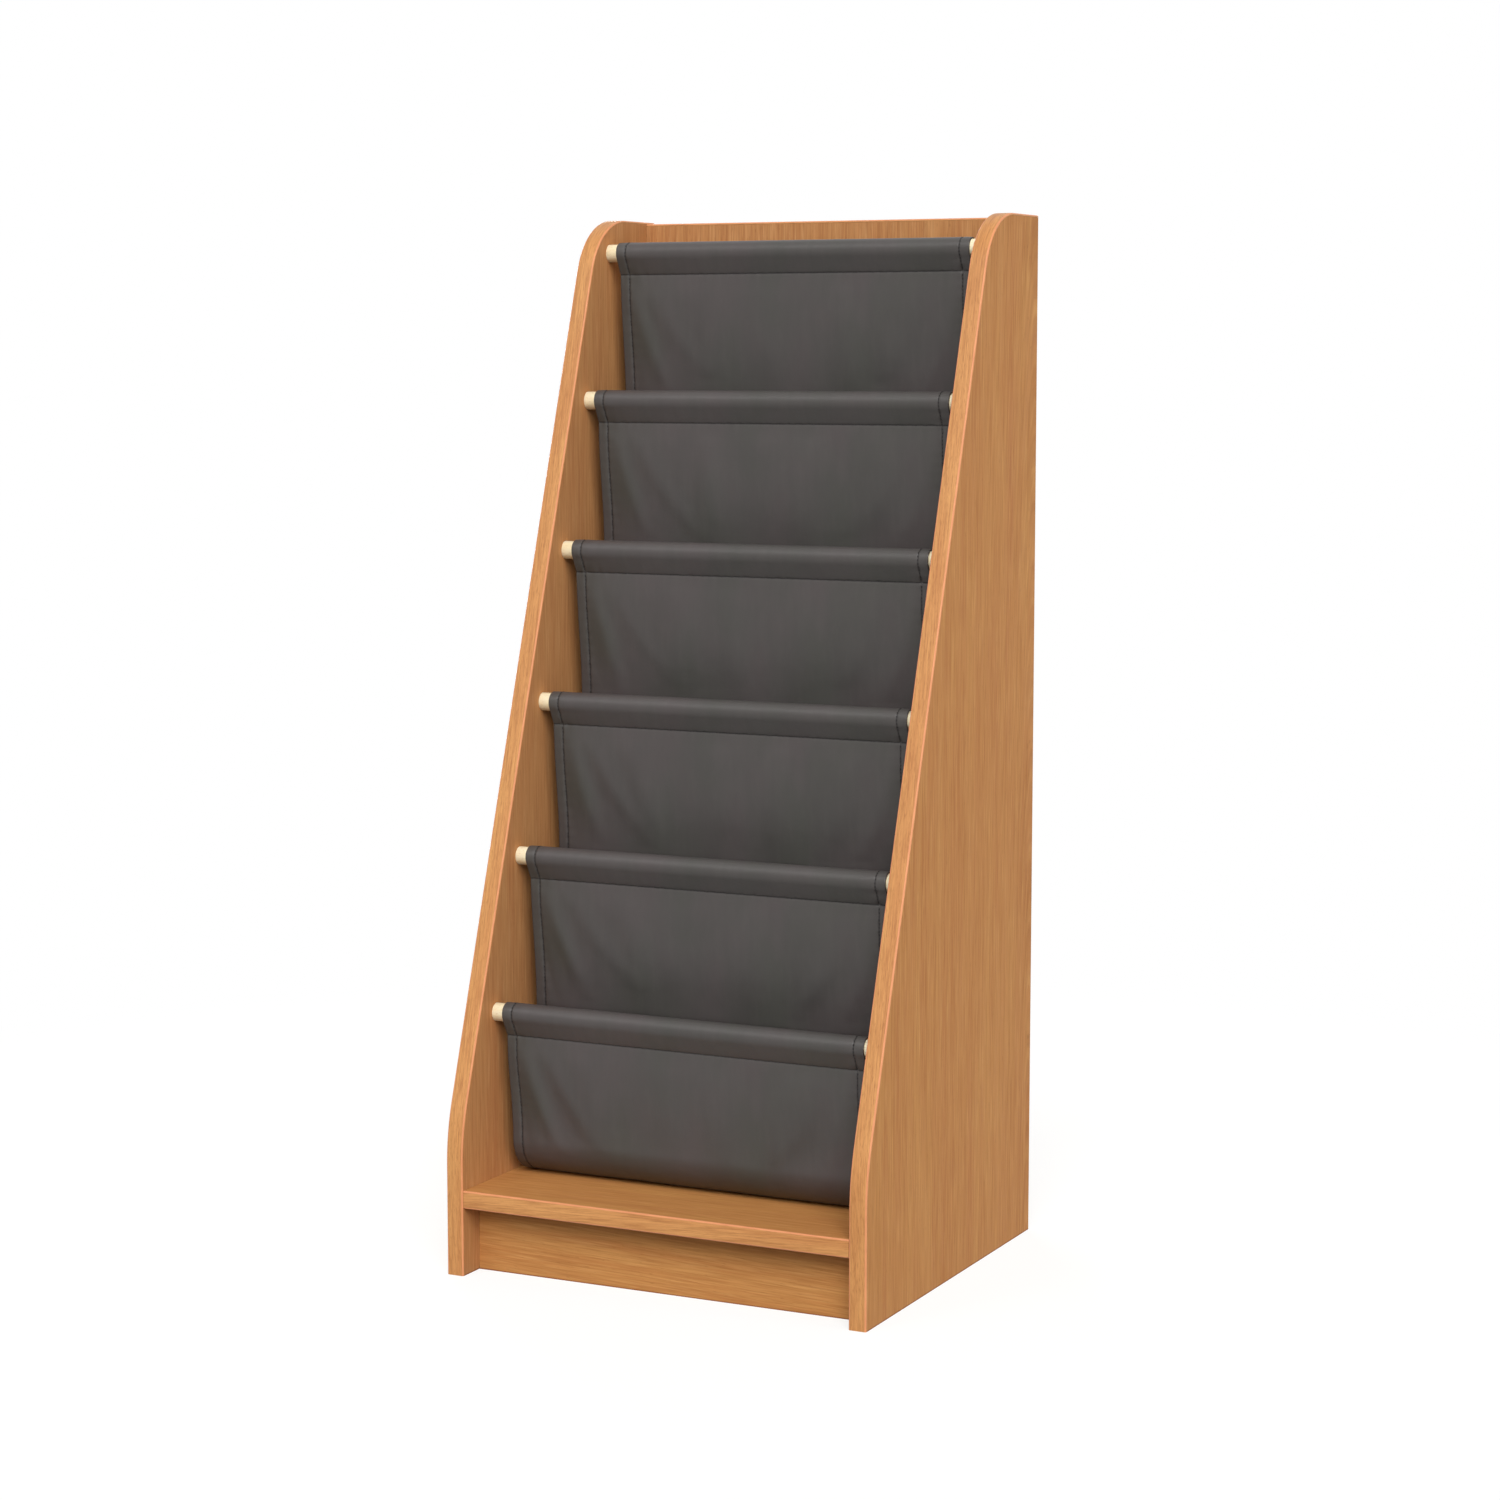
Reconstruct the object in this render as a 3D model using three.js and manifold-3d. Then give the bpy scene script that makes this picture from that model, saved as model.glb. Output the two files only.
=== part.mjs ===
// Sling bookshelf for picture books: two sloping side panels, a back panel, a base shelf
// and a plinth, with six fabric slings that hang in steps from round wooden dowels.
// Millimetres, +Z up. The origin is on the floor under the middle of the shelf.
// X runs along the dowels, and the open front faces -Y.
import * as THREE from "three";
import { mergeVertices } from "three/addons/utils/BufferGeometryUtils.js";
import Module from "manifold-3d";

// Overall size
const overallWidth = 450;
const overallDepth = 410;
const overallHeight = 1035;

// Boards and the fit between them
const board = 18;
const fitGap = 0.3;
const cutOverrun = 2;

// Edging strips, glued to the visible board edges
const edgingThickness = 2;
const edgingArris = 1.8;
const glueLine = 0.15;

// Outline of a side panel: an upright foot, a slope and a rounded top corner
const frontFootHeight = 141;
const topLength = 119.5;
const footBendRadius = 200;
const topCornerRadius = 75;

// Shelf, plinth and back panel
const shelfUnderside = 67.5;
const shelfSetback = 1;
const plinthSetback = 31;
const backPanelInset = 1;
const backPanelDrop = 2;

// Dowels that carry the slings
const tiers = 6;
const dowelDiameter = 18;
const dowelBoreDepth = 12;
const dowelInset = 31.3;
const firstDowelAboveShelf = 166;
const lastDowelBelowTop = 34.5;

// Slings
const clothThickness = 1.2;
const slingSideGap = 12;
const sleeveClearance = 0.5;
const seamDrop = 22;
const pocketOverlap = 22.7;
const frontSheetLean = 10;
const rearSheetLean = 6;
const pocketToDowelGap = 11;
const rearSleeveToBack = 2.1;
const pocketToShelfGap = 0.4;
const lowestPocketSwing = 13;
const lowestFrontCornerShare = 0.54;
const lowestRearCornerShare = 0.38;
const foldDepth = 2.4;
const bellyDepth = 2.6;
const foldsAcross = 1.5;

// Cam fastenings: a cam in the board, its bolt in the side panel
const camRadius = 7.2;
const camHeight = 12.5;
const camToBoardEnd = 24;
const camDriveLength = 8;
const camDriveWidth = 1.4;
const camDriveDepth = 1.5;
const boltThreadRadius = 2.9;
const boltThreadLength = 10.7;
const boltCollarRadius = 3.6;
const boltCollarLength = 3;
const boltNeckRadius = 2.2;
const boltHeadRadius = 3.3;
const boltHeadLength = 3;
const boltHeadPastCam = 0.6;
const boltClearance = 0.5;

// Where the fastenings and the locating dowels sit
const shelfFrontCamSetback = 55;
const shelfRearCamSetback = 75;
const backLowCamHeight = 150;
const backHighCamDrop = 75;
const pegRadius = 4;
const pegLength = 30;
const pegDepthInSide = 11;

// Facets
const dowelSides = 20;
const pinSides = 8;
const camSides = 12;
const footBendSteps = 6;
const topCornerSteps = 18;
const arrisSteps = 3;
const sleeveSteps = 8;
const cornerSteps = 4;
const frontSheetSteps = 3;
const rearSheetSteps = 3;
const stepsAcrossSling = 6;

// Finishes
const colours = {
  panel: "#b8804b",
  edging: "#d79a60",
  dowel: "#fdecbe",
  cloth: "#55504c",
  metal: "#b9bcc0",
};

function finish(colour, roughness, metalness = 0) {
  return new THREE.MeshStandardMaterial({ color: colour, roughness, metalness });
}

const panelFinish = finish(colours.panel, 0.5);
const edgingFinish = finish(colours.edging, 0.45);
const dowelFinish = finish(colours.dowel, 0.6);
const clothFinish = finish(colours.cloth, 0.85);
const metalFinish = finish(colours.metal, 0.35, 1);

// Places worked out from the driving sizes
const front = -overallDepth / 2;
const rear = overallDepth / 2;
const sideOuter = overallWidth / 2;
const sideInner = sideOuter - board;
const boardEnd = sideInner - fitGap;
const shelfTop = shelfUnderside + board;
const backRearFace = rear - backPanelInset;
const backFrontFace = backRearFace - board;
const backTop = overallHeight - backPanelDrop;
const slopeAngle = Math.atan2(overallDepth - topLength, overallHeight - frontFootHeight);

function slopeAt(height) {
  return front + (height - frontFootHeight) * Math.tan(slopeAngle);
}

// Dowel axes: the front row follows the slope, the rear row lies lower and behind it
const sleeveRadius = dowelDiameter / 2 + sleeveClearance + clothThickness;
const firstDowelHeight = shelfTop + firstDowelAboveShelf;
const tierRise = (overallHeight - lastDowelBelowTop - firstDowelHeight) / (tiers - 1);

function frontDowelAt(tier) {
  const z = firstDowelHeight + tier * tierRise;
  return { y: slopeAt(z) + dowelInset / Math.cos(slopeAngle), z };
}

const pocketOpening = backFrontFace - rearSleeveToBack - sleeveRadius - frontDowelAt(tiers - 1).y;
const rearDowelDrop = pocketOverlap + clothThickness / 2 + pocketToDowelGap + sleeveRadius;

function rearDowelAt(tier) {
  const { y, z } = frontDowelAt(tier);
  return { y: y + pocketOpening, z: z - rearDowelDrop };
}

// Solids and geometries

function toSolid(geometry) {
  const bare = geometry.clone();
  bare.deleteAttribute("normal");
  bare.deleteAttribute("uv");
  const merged = mergeVertices(bare);
  return new wasm.Manifold(new wasm.Mesh({
    numProp: 3,
    vertProperties: new Float32Array(merged.attributes.position.array),
    triVerts: new Uint32Array(merged.index.array),
  }));
}

function toGeometry(solid) {
  const mesh = solid.getMesh();
  const geometry = new THREE.BufferGeometry();
  geometry.setAttribute("position", new THREE.BufferAttribute(new Float32Array(mesh.vertProperties), 3));
  geometry.setIndex(new THREE.BufferAttribute(new Uint32Array(mesh.triVerts), 1));
  return geometry;
}

const wasm = await Module();
wasm.setup();

function cut(geometry, cutters) {
  const solids = cutters.map(toSolid);
  return toGeometry(solids.reduce((left, solid) => left.subtract(solid), toSolid(geometry)));
}

function block(x, y, z) {
  const geometry = new THREE.BoxGeometry(x[1] - x[0], y[1] - y[0], z[1] - z[0]);
  return geometry.translate((x[0] + x[1]) / 2, (y[0] + y[1]) / 2, (z[0] + z[1]) / 2);
}

function rodAlongX(radius, x, place, sides) {
  const geometry = new THREE.CylinderGeometry(radius, radius, x[1] - x[0], sides);
  geometry.rotateZ(Math.PI / 2);
  return geometry.translate((x[0] + x[1]) / 2, place.y, place.z);
}

// A body through closed rings of points, with a flat cap at each end
function loft(rings) {
  const size = rings[0].length;
  const corners = rings.flat().flatMap((point) => [point.x, point.y, point.z]);
  const faces = [];
  for (let ring = 0; ring < rings.length - 1; ring += 1) {
    for (let side = 0; side < size; side += 1) {
      const a = ring * size + side;
      const b = ring * size + (side + 1) % size;
      faces.push(a, b, b + size, a, b + size, a + size);
    }
  }
  const last = (rings.length - 1) * size;
  for (let side = 1; side < size - 1; side += 1) {
    faces.push(0, side + 1, side, last, last + side, last + side + 1);
  }
  const geometry = new THREE.BufferGeometry();
  geometry.setAttribute("position", new THREE.Float32BufferAttribute(corners, 3));
  geometry.setIndex(faces);
  return geometry;
}

// Points of a round stretch about a centre, from one angle to another
function arc(centre, radius, from, to, steps) {
  return Array.from({ length: steps + 1 }, (_, step) => {
    const angle = from + (to - from) * step / steps;
    return { y: centre.y + radius * Math.cos(angle), z: centre.z + radius * Math.sin(angle) };
  });
}

// Side panels

// Front and top outline of a side panel, from the floor to the rear, a given depth inside it
function sideOutline(depth) {
  const slopeNormal = Math.PI - slopeAngle;
  const bend = {
    y: front + footBendRadius,
    z: frontFootHeight - footBendRadius * Math.tan(slopeAngle / 2),
  };
  const cornerHeight = overallHeight - topCornerRadius;
  const corner = {
    y: slopeAt(cornerHeight) + topCornerRadius / Math.cos(slopeAngle),
    z: cornerHeight,
  };
  return [
    { y: front + depth, z: 0 },
    ...arc(bend, footBendRadius - depth, Math.PI, slopeNormal, footBendSteps),
    ...arc(corner, topCornerRadius - depth, slopeNormal, Math.PI / 2, topCornerSteps),
    { y: rear, z: overallHeight - depth },
  ];
}

// Section of an edging strip: across its width, and in from its outer face
function edgingSection(width) {
  const inner = width / 2 - edgingArris;
  const left = arc({ y: -inner, z: edgingArris }, edgingArris, Math.PI, Math.PI * 1.5, arrisSteps);
  const outline = [{ y: -width / 2, z: edgingThickness }, ...left];
  const mirrored = outline.map(({ y, z }) => ({ y: -y, z })).reverse();
  return [...outline, ...mirrored].map(({ y, z }) => ({ across: y, depth: z }));
}

// Puts a flat outline in the YZ plane and gives it a width along X
function extrudeAlongX(shape, x, steps = 1) {
  const options = { depth: x[1] - x[0], steps, bevelEnabled: false };
  const geometry = new THREE.ExtrudeGeometry(shape, options);
  const alongX = new THREE.Matrix4().makeBasis(
    new THREE.Vector3(0, 1, 0),
    new THREE.Vector3(0, 0, 1),
    new THREE.Vector3(1, 0, 0),
  );
  return geometry.applyMatrix4(alongX).translate(x[0], 0, 0);
}

function flatShape(points) {
  return new THREE.Shape(points.map(({ y, z }) => new THREE.Vector2(y, z)));
}

// The span between an inner and an outer place, on the left or the right of the middle
function onSide(side, inner, outer) {
  return side < 0 ? [-outer, -inner] : [inner, outer];
}

function sidePanel(side, fittings, pegs) {
  const outline = sideOutline(edgingThickness + glueLine);
  const shape = flatShape([...outline, { y: rear, z: 0 }]);
  const core = extrudeAlongX(shape, onSide(side, sideInner, sideOuter));
  const bore = onSide(side, sideInner - cutOverrun, sideInner + dowelBoreDepth);
  const dowelBores = dowelPlaces().map(({ place }) => (
    rodAlongX(dowelDiameter / 2 + fitGap, bore, place, dowelSides)));
  const threadBore = onSide(side, sideInner - cutOverrun, sideInner + boltThreadLength + fitGap);
  const threadBores = fittings.filter((fitting) => fitting.side === side).map((fitting) => (
    rodAlongX(boltThreadRadius + fitGap, threadBore, boltAxis(fitting), pinSides)));
  const pegBore = onSide(side, sideInner - cutOverrun, sideInner + pegDepthInSide + fitGap);
  const pegBores = pegs.filter((peg) => peg.side === side).map((peg) => (
    rodAlongX(pegRadius + fitGap, pegBore, peg, pinSides)));
  return cut(core, [...dowelBores, ...threadBores, ...pegBores]);
}

function sideEdging(side) {
  const section = edgingSection(board);
  const outlines = section.map(({ depth }) => sideOutline(depth));
  const middle = side * (sideInner + board / 2);
  const rings = outlines[0].map((_, station) => section.map(({ across }, index) => (
    new THREE.Vector3(middle + across, outlines[index][station].y, outlines[index][station].z))));
  return loft(rings);
}

// Dowels

function dowelPlaces() {
  return Array.from({ length: tiers }, (_, tier) => [
    { name: `front_dowel_${tier + 1}`, place: frontDowelAt(tier) },
    { name: `rear_dowel_${tier + 1}`, place: rearDowelAt(tier) },
  ]).flat();
}

function dowel(place) {
  const end = sideInner + dowelBoreDepth - fitGap;
  return rodAlongX(dowelDiameter / 2, [-end, end], place, dowelSides);
}

// Boards between the side panels

function strip(x, mapSection) {
  const section = edgingSection(board);
  const ring = (end) => section.map((point) => mapSection(end, point));
  return loft([ring(x[0]), ring(x[1])]);
}

const shelfFront = front + shelfSetback;
const shelfMiddle = shelfUnderside + board / 2;
const backMiddle = backRearFace - board / 2;

function baseShelf(fittings, pegs) {
  const y = [shelfFront + edgingThickness + glueLine, backFrontFace - fitGap];
  const core = block([-boardEnd, boardEnd], y, [shelfUnderside, shelfTop]);
  return cut(core, [...fittings.flatMap(fittingBores), ...pegs.map(pegBoreInBoard)]);
}

function shelfEdging() {
  return strip([-boardEnd, boardEnd], (x, { across, depth }) => (
    new THREE.Vector3(x, shelfFront + depth, shelfMiddle - across)));
}

function plinth(fittings) {
  const y = [front + plinthSetback, front + plinthSetback + board];
  const core = block([-boardEnd, boardEnd], y, [0, shelfUnderside - fitGap]);
  return cut(core, fittings.flatMap(fittingBores));
}

function backPanel(fittings, pegs) {
  const core = block(
    [-boardEnd, boardEnd],
    [backFrontFace, backRearFace],
    [0, backTop - edgingThickness - glueLine],
  );
  return cut(core, [...fittings.flatMap(fittingBores), ...pegs.map(pegBoreInBoard)]);
}

function backPanelEdging() {
  return strip([-boardEnd, boardEnd], (x, { across, depth }) => (
    new THREE.Vector3(x, backMiddle - across, backTop - depth)));
}

// Cam fastenings. Each is made about its cam's centre on the board's face: +Z out of the face,
// +X towards the side panel

const camCentre = boardEnd - camToBoardEnd;
const camToSide = sideInner - camCentre;

function fittingMatrix({ side, y, z, faceNormal }) {
  const towardsSide = new THREE.Vector3(side, 0, 0);
  const across = new THREE.Vector3().crossVectors(faceNormal, towardsSide);
  const matrix = new THREE.Matrix4().makeBasis(towardsSide, across, faceNormal);
  return matrix.setPosition(side * camCentre, y, z);
}

function boltAxis(fitting) {
  const depth = new THREE.Vector3().copy(fitting.faceNormal).multiplyScalar(-board / 2);
  return { y: fitting.y + depth.y, z: fitting.z + depth.z };
}

function camCylinder(radius, height, overrun = 0) {
  const geometry = new THREE.CylinderGeometry(radius, radius, height + overrun, camSides);
  return geometry.rotateX(Math.PI / 2).translate(0, 0, (overrun - height) / 2);
}

function fittingBores(fitting) {
  const matrix = fittingMatrix(fitting);
  const camBore = camCylinder(camRadius + fitGap, camHeight + fitGap, cutOverrun);
  const boltBore = rodAlongX(
    boltCollarRadius + boltClearance,
    [0, camToBoardEnd + cutOverrun],
    { y: 0, z: -board / 2 },
    pinSides,
  );
  return [camBore.applyMatrix4(matrix), boltBore.applyMatrix4(matrix)];
}

function cam() {
  const deep = -camHeight - cutOverrun;
  const neck = boltNeckRadius + boltClearance;
  const head = boltHeadRadius + boltClearance;
  const headStart = boltHeadPastCam - boltHeadLength - boltClearance;
  const headEnd = boltHeadPastCam + boltClearance;
  const drive = (long, wide) => block([-long, long], [-wide, wide], [-camDriveDepth, cutOverrun]);
  return cut(camCylinder(camRadius, camHeight), [
    block([-headEnd, camRadius + cutOverrun], [-neck, neck], [deep, neck - board / 2]),
    block([-headEnd, -headStart], [-head, head], [deep, head - board / 2]),
    drive(camDriveLength / 2, camDriveWidth / 2),
    drive(camDriveWidth / 2, camDriveLength / 2),
  ]);
}

function camBolt() {
  const profile = [
    [0, -boltHeadPastCam],
    [boltHeadRadius, -boltHeadPastCam],
    [boltHeadRadius, boltHeadLength - boltHeadPastCam],
    [boltNeckRadius, boltHeadLength - boltHeadPastCam],
    [boltNeckRadius, camToSide - boltCollarLength],
    [boltCollarRadius, camToSide - boltCollarLength],
    [boltCollarRadius, camToSide - fitGap],
    [boltThreadRadius, camToSide - fitGap],
    [boltThreadRadius, camToSide + boltThreadLength],
    [0, camToSide + boltThreadLength],
  ].map(([radius, along]) => new THREE.Vector2(radius, along));
  const geometry = new THREE.LatheGeometry(profile, pinSides);
  return geometry.rotateZ(-Math.PI / 2).translate(0, 0, -board / 2);
}

function bothSides(rows) {
  return Object.entries(rows).flatMap(([row, place]) => [
    { ...place, name: `${row}_left`, side: -1 },
    { ...place, name: `${row}_right`, side: 1 },
  ]);
}

function fittingPlaces() {
  const down = new THREE.Vector3(0, 0, -1);
  const back = new THREE.Vector3(0, 1, 0);
  const backHigh = backTop - backHighCamDrop;
  const backMiddleHeight = (backLowCamHeight + backHigh) / 2;
  const underShelf = (y) => ({ part: "shelf", y, z: shelfUnderside, faceNormal: down });
  const behindBack = (z) => ({ part: "back", y: backRearFace, z, faceNormal: back });
  const plinthRear = front + plinthSetback + board;
  const rows = {
    shelf_front: underShelf(shelfFront + shelfFrontCamSetback),
    shelf_rear: underShelf(backFrontFace - shelfRearCamSetback),
    plinth: { part: "plinth", y: plinthRear, z: shelfUnderside / 2, faceNormal: back },
    back_low: behindBack(backLowCamHeight),
    back_middle: behindBack(backMiddleHeight),
    back_high: behindBack(backHigh),
  };
  return bothSides(rows);
}

// Locating dowels, half in a board's end and half in the side panel

const pegStart = sideInner + pegDepthInSide - pegLength;

function pegBoreInBoard({ side, y, z }) {
  const x = onSide(side, pegStart - fitGap, boardEnd + cutOverrun);
  return rodAlongX(pegRadius + fitGap, x, { y, z }, pinSides);
}

function locatingDowel({ side, y, z }) {
  return rodAlongX(pegRadius, onSide(side, pegStart, pegStart + pegLength), { y, z }, pinSides);
}

function pegPlaces(fittings) {
  const heightOf = (name) => fittings.find((fitting) => fitting.name === name).z;
  const setbackOf = (name) => fittings.find((fitting) => fitting.name === name).y;
  const between = (low, high) => (low + high) / 2;
  const shelfPlace = between(setbackOf("shelf_front_left"), setbackOf("shelf_rear_left"));
  const middle = heightOf("back_middle_left");
  const rows = {
    shelf_peg: { part: "shelf", y: shelfPlace, z: shelfMiddle },
    back_low_peg: { part: "back", y: backMiddle, z: between(heightOf("back_low_left"), middle) },
    back_high_peg: { part: "back", y: backMiddle, z: between(middle, heightOf("back_high_left")) },
  };
  return bothSides(rows);
}

// Slings. A sling's outline is drawn about its front dowel's axis: a sleeve round each dowel
// and one sheet that hangs between the two seams

// A hanging stretch of the sheet that swings aside as it goes down, upright at both ends
function hanging(from, to, steps) {
  return Array.from({ length: steps }, (_, step) => ({
    y: from.y + (to.y - from.y) * THREE.MathUtils.smoothstep(step / steps, 0, 1),
    z: from.z + (to.z - from.z) * step / steps,
  }));
}

function pocketShape(tier) {
  if (tier > 0) {
    const width = pocketOpening - frontSheetLean - rearSheetLean;
    return {
      bottom: -(tierRise + pocketOverlap),
      rearSheet: pocketOpening - rearSheetLean,
      frontCorner: width / 2,
      rearCorner: width / 2,
    };
  }
  const width = pocketOpening + lowestPocketSwing - frontSheetLean;
  return {
    bottom: pocketToShelfGap + clothThickness / 2 - firstDowelAboveShelf,
    rearSheet: pocketOpening + lowestPocketSwing,
    frontCorner: width * lowestFrontCornerShare,
    rearCorner: width * lowestRearCornerShare,
  };
}

// Middle line of the sheet, from the front seam round the pocket's bottom to the rear seam
function sheetLine(tier) {
  const { bottom, rearSheet, frontCorner, rearCorner } = pocketShape(tier);
  const frontSeam = { y: 0, z: -seamDrop };
  const rearSeam = { y: pocketOpening, z: -rearDowelDrop - seamDrop };
  const frontCentre = { y: frontSheetLean + frontCorner, z: bottom + frontCorner };
  const rearCentre = { y: rearSheet - rearCorner, z: bottom + rearCorner };
  const frontArc = arc(frontCentre, frontCorner, Math.PI, Math.PI * 1.5, cornerSteps);
  const rearArc = arc(rearCentre, rearCorner, Math.PI * 1.5, Math.PI * 2, cornerSteps);
  const arcsMeet = tier > 0;
  const rearSide = hanging(rearSeam, rearArc.at(-1), rearSheetSteps).reverse();
  return [
    ...hanging(frontSeam, frontArc[0], frontSheetSteps),
    ...frontArc,
    ...(arcsMeet ? rearArc.slice(1) : rearArc),
    ...rearSide,
  ];
}

// The same line moved sideways, to the left of its direction
function moved(line, distance) {
  return line.map((point, index) => {
    const before = line[Math.max(index - 1, 0)];
    const after = line[Math.min(index + 1, line.length - 1)];
    const length = Math.hypot(after.y - before.y, after.z - before.z);
    return {
      y: point.y - distance * (after.z - before.z) / length,
      z: point.z + distance * (after.y - before.y) / length,
    };
  });
}

// Round part of a sleeve, over the top from front to rear, where its sides run down to the seam
function sleeveArc(centre, radius) {
  const reach = Math.acos(sleeveRadius / seamDrop);
  return arc(centre, radius, -Math.PI / 2 - reach + Math.PI * 2, reach - Math.PI / 2, sleeveSteps);
}

function sleeveHole(centre) {
  const radius = sleeveRadius - clothThickness;
  const tip = { y: centre.y, z: centre.z - seamDrop * radius / sleeveRadius };
  const againstOutline = [...sleeveArc(centre, radius), tip].reverse();
  return new THREE.Path(againstOutline.map(({ y, z }) => new THREE.Vector2(y, z)));
}

function slingShape(tier) {
  const line = sheetLine(tier);
  const inside = moved(line, clothThickness / 2);
  const outside = moved(line, -clothThickness / 2);
  const frontAxis = { y: 0, z: 0 };
  const rearAxis = { y: pocketOpening, z: -rearDowelDrop };
  const shape = flatShape([
    ...sleeveArc(frontAxis, sleeveRadius),
    ...inside,
    ...sleeveArc(rearAxis, sleeveRadius),
    ...outside.reverse(),
  ]);
  shape.holes = [sleeveHole(frontAxis), sleeveHole(rearAxis)];
  return shape;
}

// Soft folds: the sheets swell outwards in the middle and ripple across, less near seams and bottom
function foldSling(geometry, tier, halfWidth) {
  const { bottom } = pocketShape(tier);
  const position = geometry.attributes.position;
  for (let index = 0; index < position.count; index += 1) {
    const across = position.getX(index) / halfWidth;
    const y = position.getY(index);
    const outward = 2 * y / pocketOpening - 1;
    const seam = outward > 0 ? -rearDowelDrop - seamDrop : -seamDrop;
    const depthShare = THREE.MathUtils.clamp((position.getZ(index) - seam) / (bottom - seam), 0, 1);
    const swell = bellyDepth * Math.cos(across * Math.PI / 2);
    const ripple = foldDepth * Math.cos(across * Math.PI * foldsAcross);
    const seamToBottom = Math.sin(depthShare * Math.PI) ** 2;
    position.setY(index, y + outward * (swell + ripple) * seamToBottom);
  }
}

function sling(tier) {
  const halfWidth = sideInner - slingSideGap;
  const geometry = extrudeAlongX(slingShape(tier), [-halfWidth, halfWidth], stepsAcrossSling);
  foldSling(geometry, tier, halfWidth);
  const { y, z } = frontDowelAt(tier);
  return geometry.translate(0, y, z);
}

// The assembly

const bookshelf = new THREE.Group();

function add(name, geometry, material) {
  const mesh = new THREE.Mesh(geometry, material);
  mesh.name = name;
  bookshelf.add(mesh);
  return mesh;
}

const fittings = fittingPlaces();
const pegs = pegPlaces(fittings);
const of = (part, places) => places.filter((place) => place.part === part);

add("left_side_panel", sidePanel(-1, fittings, pegs), panelFinish);
add("right_side_panel", sidePanel(1, fittings, pegs), panelFinish);
add("left_side_edging", sideEdging(-1), edgingFinish);
add("right_side_edging", sideEdging(1), edgingFinish);
add("back_panel", backPanel(of("back", fittings), of("back", pegs)), panelFinish);
add("back_panel_edging", backPanelEdging(), edgingFinish);
add("base_shelf", baseShelf(of("shelf", fittings), of("shelf", pegs)), panelFinish);
add("base_shelf_edging", shelfEdging(), edgingFinish);
add("plinth", plinth(of("plinth", fittings)), panelFinish);

for (const { name, place } of dowelPlaces()) {
  add(name, dowel(place), dowelFinish);
}

for (let tier = 0; tier < tiers; tier += 1) {
  add(`sling_${tier + 1}`, sling(tier), clothFinish);
}

for (const fitting of fittings) {
  const group = new THREE.Group();
  const matrix = fittingMatrix(fitting);
  matrix.decompose(group.position, group.quaternion, group.scale);
  group.add(add(`${fitting.name}_cam`, cam(), metalFinish));
  group.add(add(`${fitting.name}_bolt`, camBolt(), metalFinish));
  bookshelf.add(group);
}

for (const place of pegs) {
  add(place.name, locatingDowel(place), dowelFinish);
}

export default bookshelf;
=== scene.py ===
# %% [markdown]
# # A sling bookshelf, dressed in Blender
#
# The real object is a narrow bookshelf for small children. Two side panels of beech-effect board
# slope back towards the top, and six cloth slings hang between them on round wooden dowels, one
# above the other, so that picture books face forward. The construction comes from a CAD frame that
# is already at its real size. This lesson gives it its looks: printed wood grain, rounded plastic
# edging, sanded dowels, sewn cloth, and the light of a plain studio.
#
# The frame is loaded first. Every node keeps its place in its mesh, and its object sits at the
# origin, so whatever is made here goes straight where the frame says.

# %% Load the frame
import bisect
import math
import random

import bmesh
import bpy
from mathutils import Matrix, Vector, noise


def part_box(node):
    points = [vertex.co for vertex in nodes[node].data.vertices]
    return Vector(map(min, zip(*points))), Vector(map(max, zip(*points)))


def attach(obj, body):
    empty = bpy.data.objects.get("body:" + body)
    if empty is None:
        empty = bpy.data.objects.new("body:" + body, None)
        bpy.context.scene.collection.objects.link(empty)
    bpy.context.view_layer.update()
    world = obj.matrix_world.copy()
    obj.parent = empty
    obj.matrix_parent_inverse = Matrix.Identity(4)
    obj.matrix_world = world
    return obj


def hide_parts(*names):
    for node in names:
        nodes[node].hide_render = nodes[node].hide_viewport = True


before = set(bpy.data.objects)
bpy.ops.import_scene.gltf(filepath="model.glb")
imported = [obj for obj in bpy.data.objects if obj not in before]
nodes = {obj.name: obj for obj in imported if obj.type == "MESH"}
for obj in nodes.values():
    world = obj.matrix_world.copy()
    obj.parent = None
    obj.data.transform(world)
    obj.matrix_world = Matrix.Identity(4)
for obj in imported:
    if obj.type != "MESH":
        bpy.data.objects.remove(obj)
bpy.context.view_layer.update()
print("CAD nodes:", len(nodes))

# %% Units and the sizes read from the frame
MM = 0.001

side_low, side_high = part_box("right_side_panel")
board = side_high.x - side_low.x
side_inner = side_low.x
edging_low, edging_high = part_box("right_side_edging")
front, rear, height = edging_low.y, edging_high.y, edging_high.z
tiers = sum(name.startswith("front_dowel_") for name in nodes)
print(f"board {board / MM:.1f} mm, tiers {tiers}, height {height / MM:.0f} mm")

# %% [markdown]
# ## Camera
#
# The photograph looks at the shelf from its right, from just below its top. Its lens is long, so
# the sides of the shelf stay almost parallel. The place and the turn were fitted to the corners of
# the boards. The lens isn't shifted: the camera dips a little instead, which keeps the shelf in the
# middle of the frame from every other side as well.

# %% Camera
camera_place = Vector((1.4455, -2.9410, 0.8934))
camera_turn = math.radians(26.09)
camera_dip = math.radians(6.70)
lens_mm = 80.0
sensor_mm = 36.0

camera_data = bpy.data.cameras.new("camera")
camera_data.lens = lens_mm
camera_data.sensor_width = sensor_mm
camera = bpy.data.objects.new("camera", camera_data)
camera.location = camera_place
camera.rotation_euler = (math.radians(90) - camera_dip, 0, camera_turn)
bpy.context.scene.collection.objects.link(camera)
bpy.context.scene.camera = camera
bpy.context.scene.view_settings.view_transform = "Standard"
print("camera stands", round(camera_place.length, 2), "m away")

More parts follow.
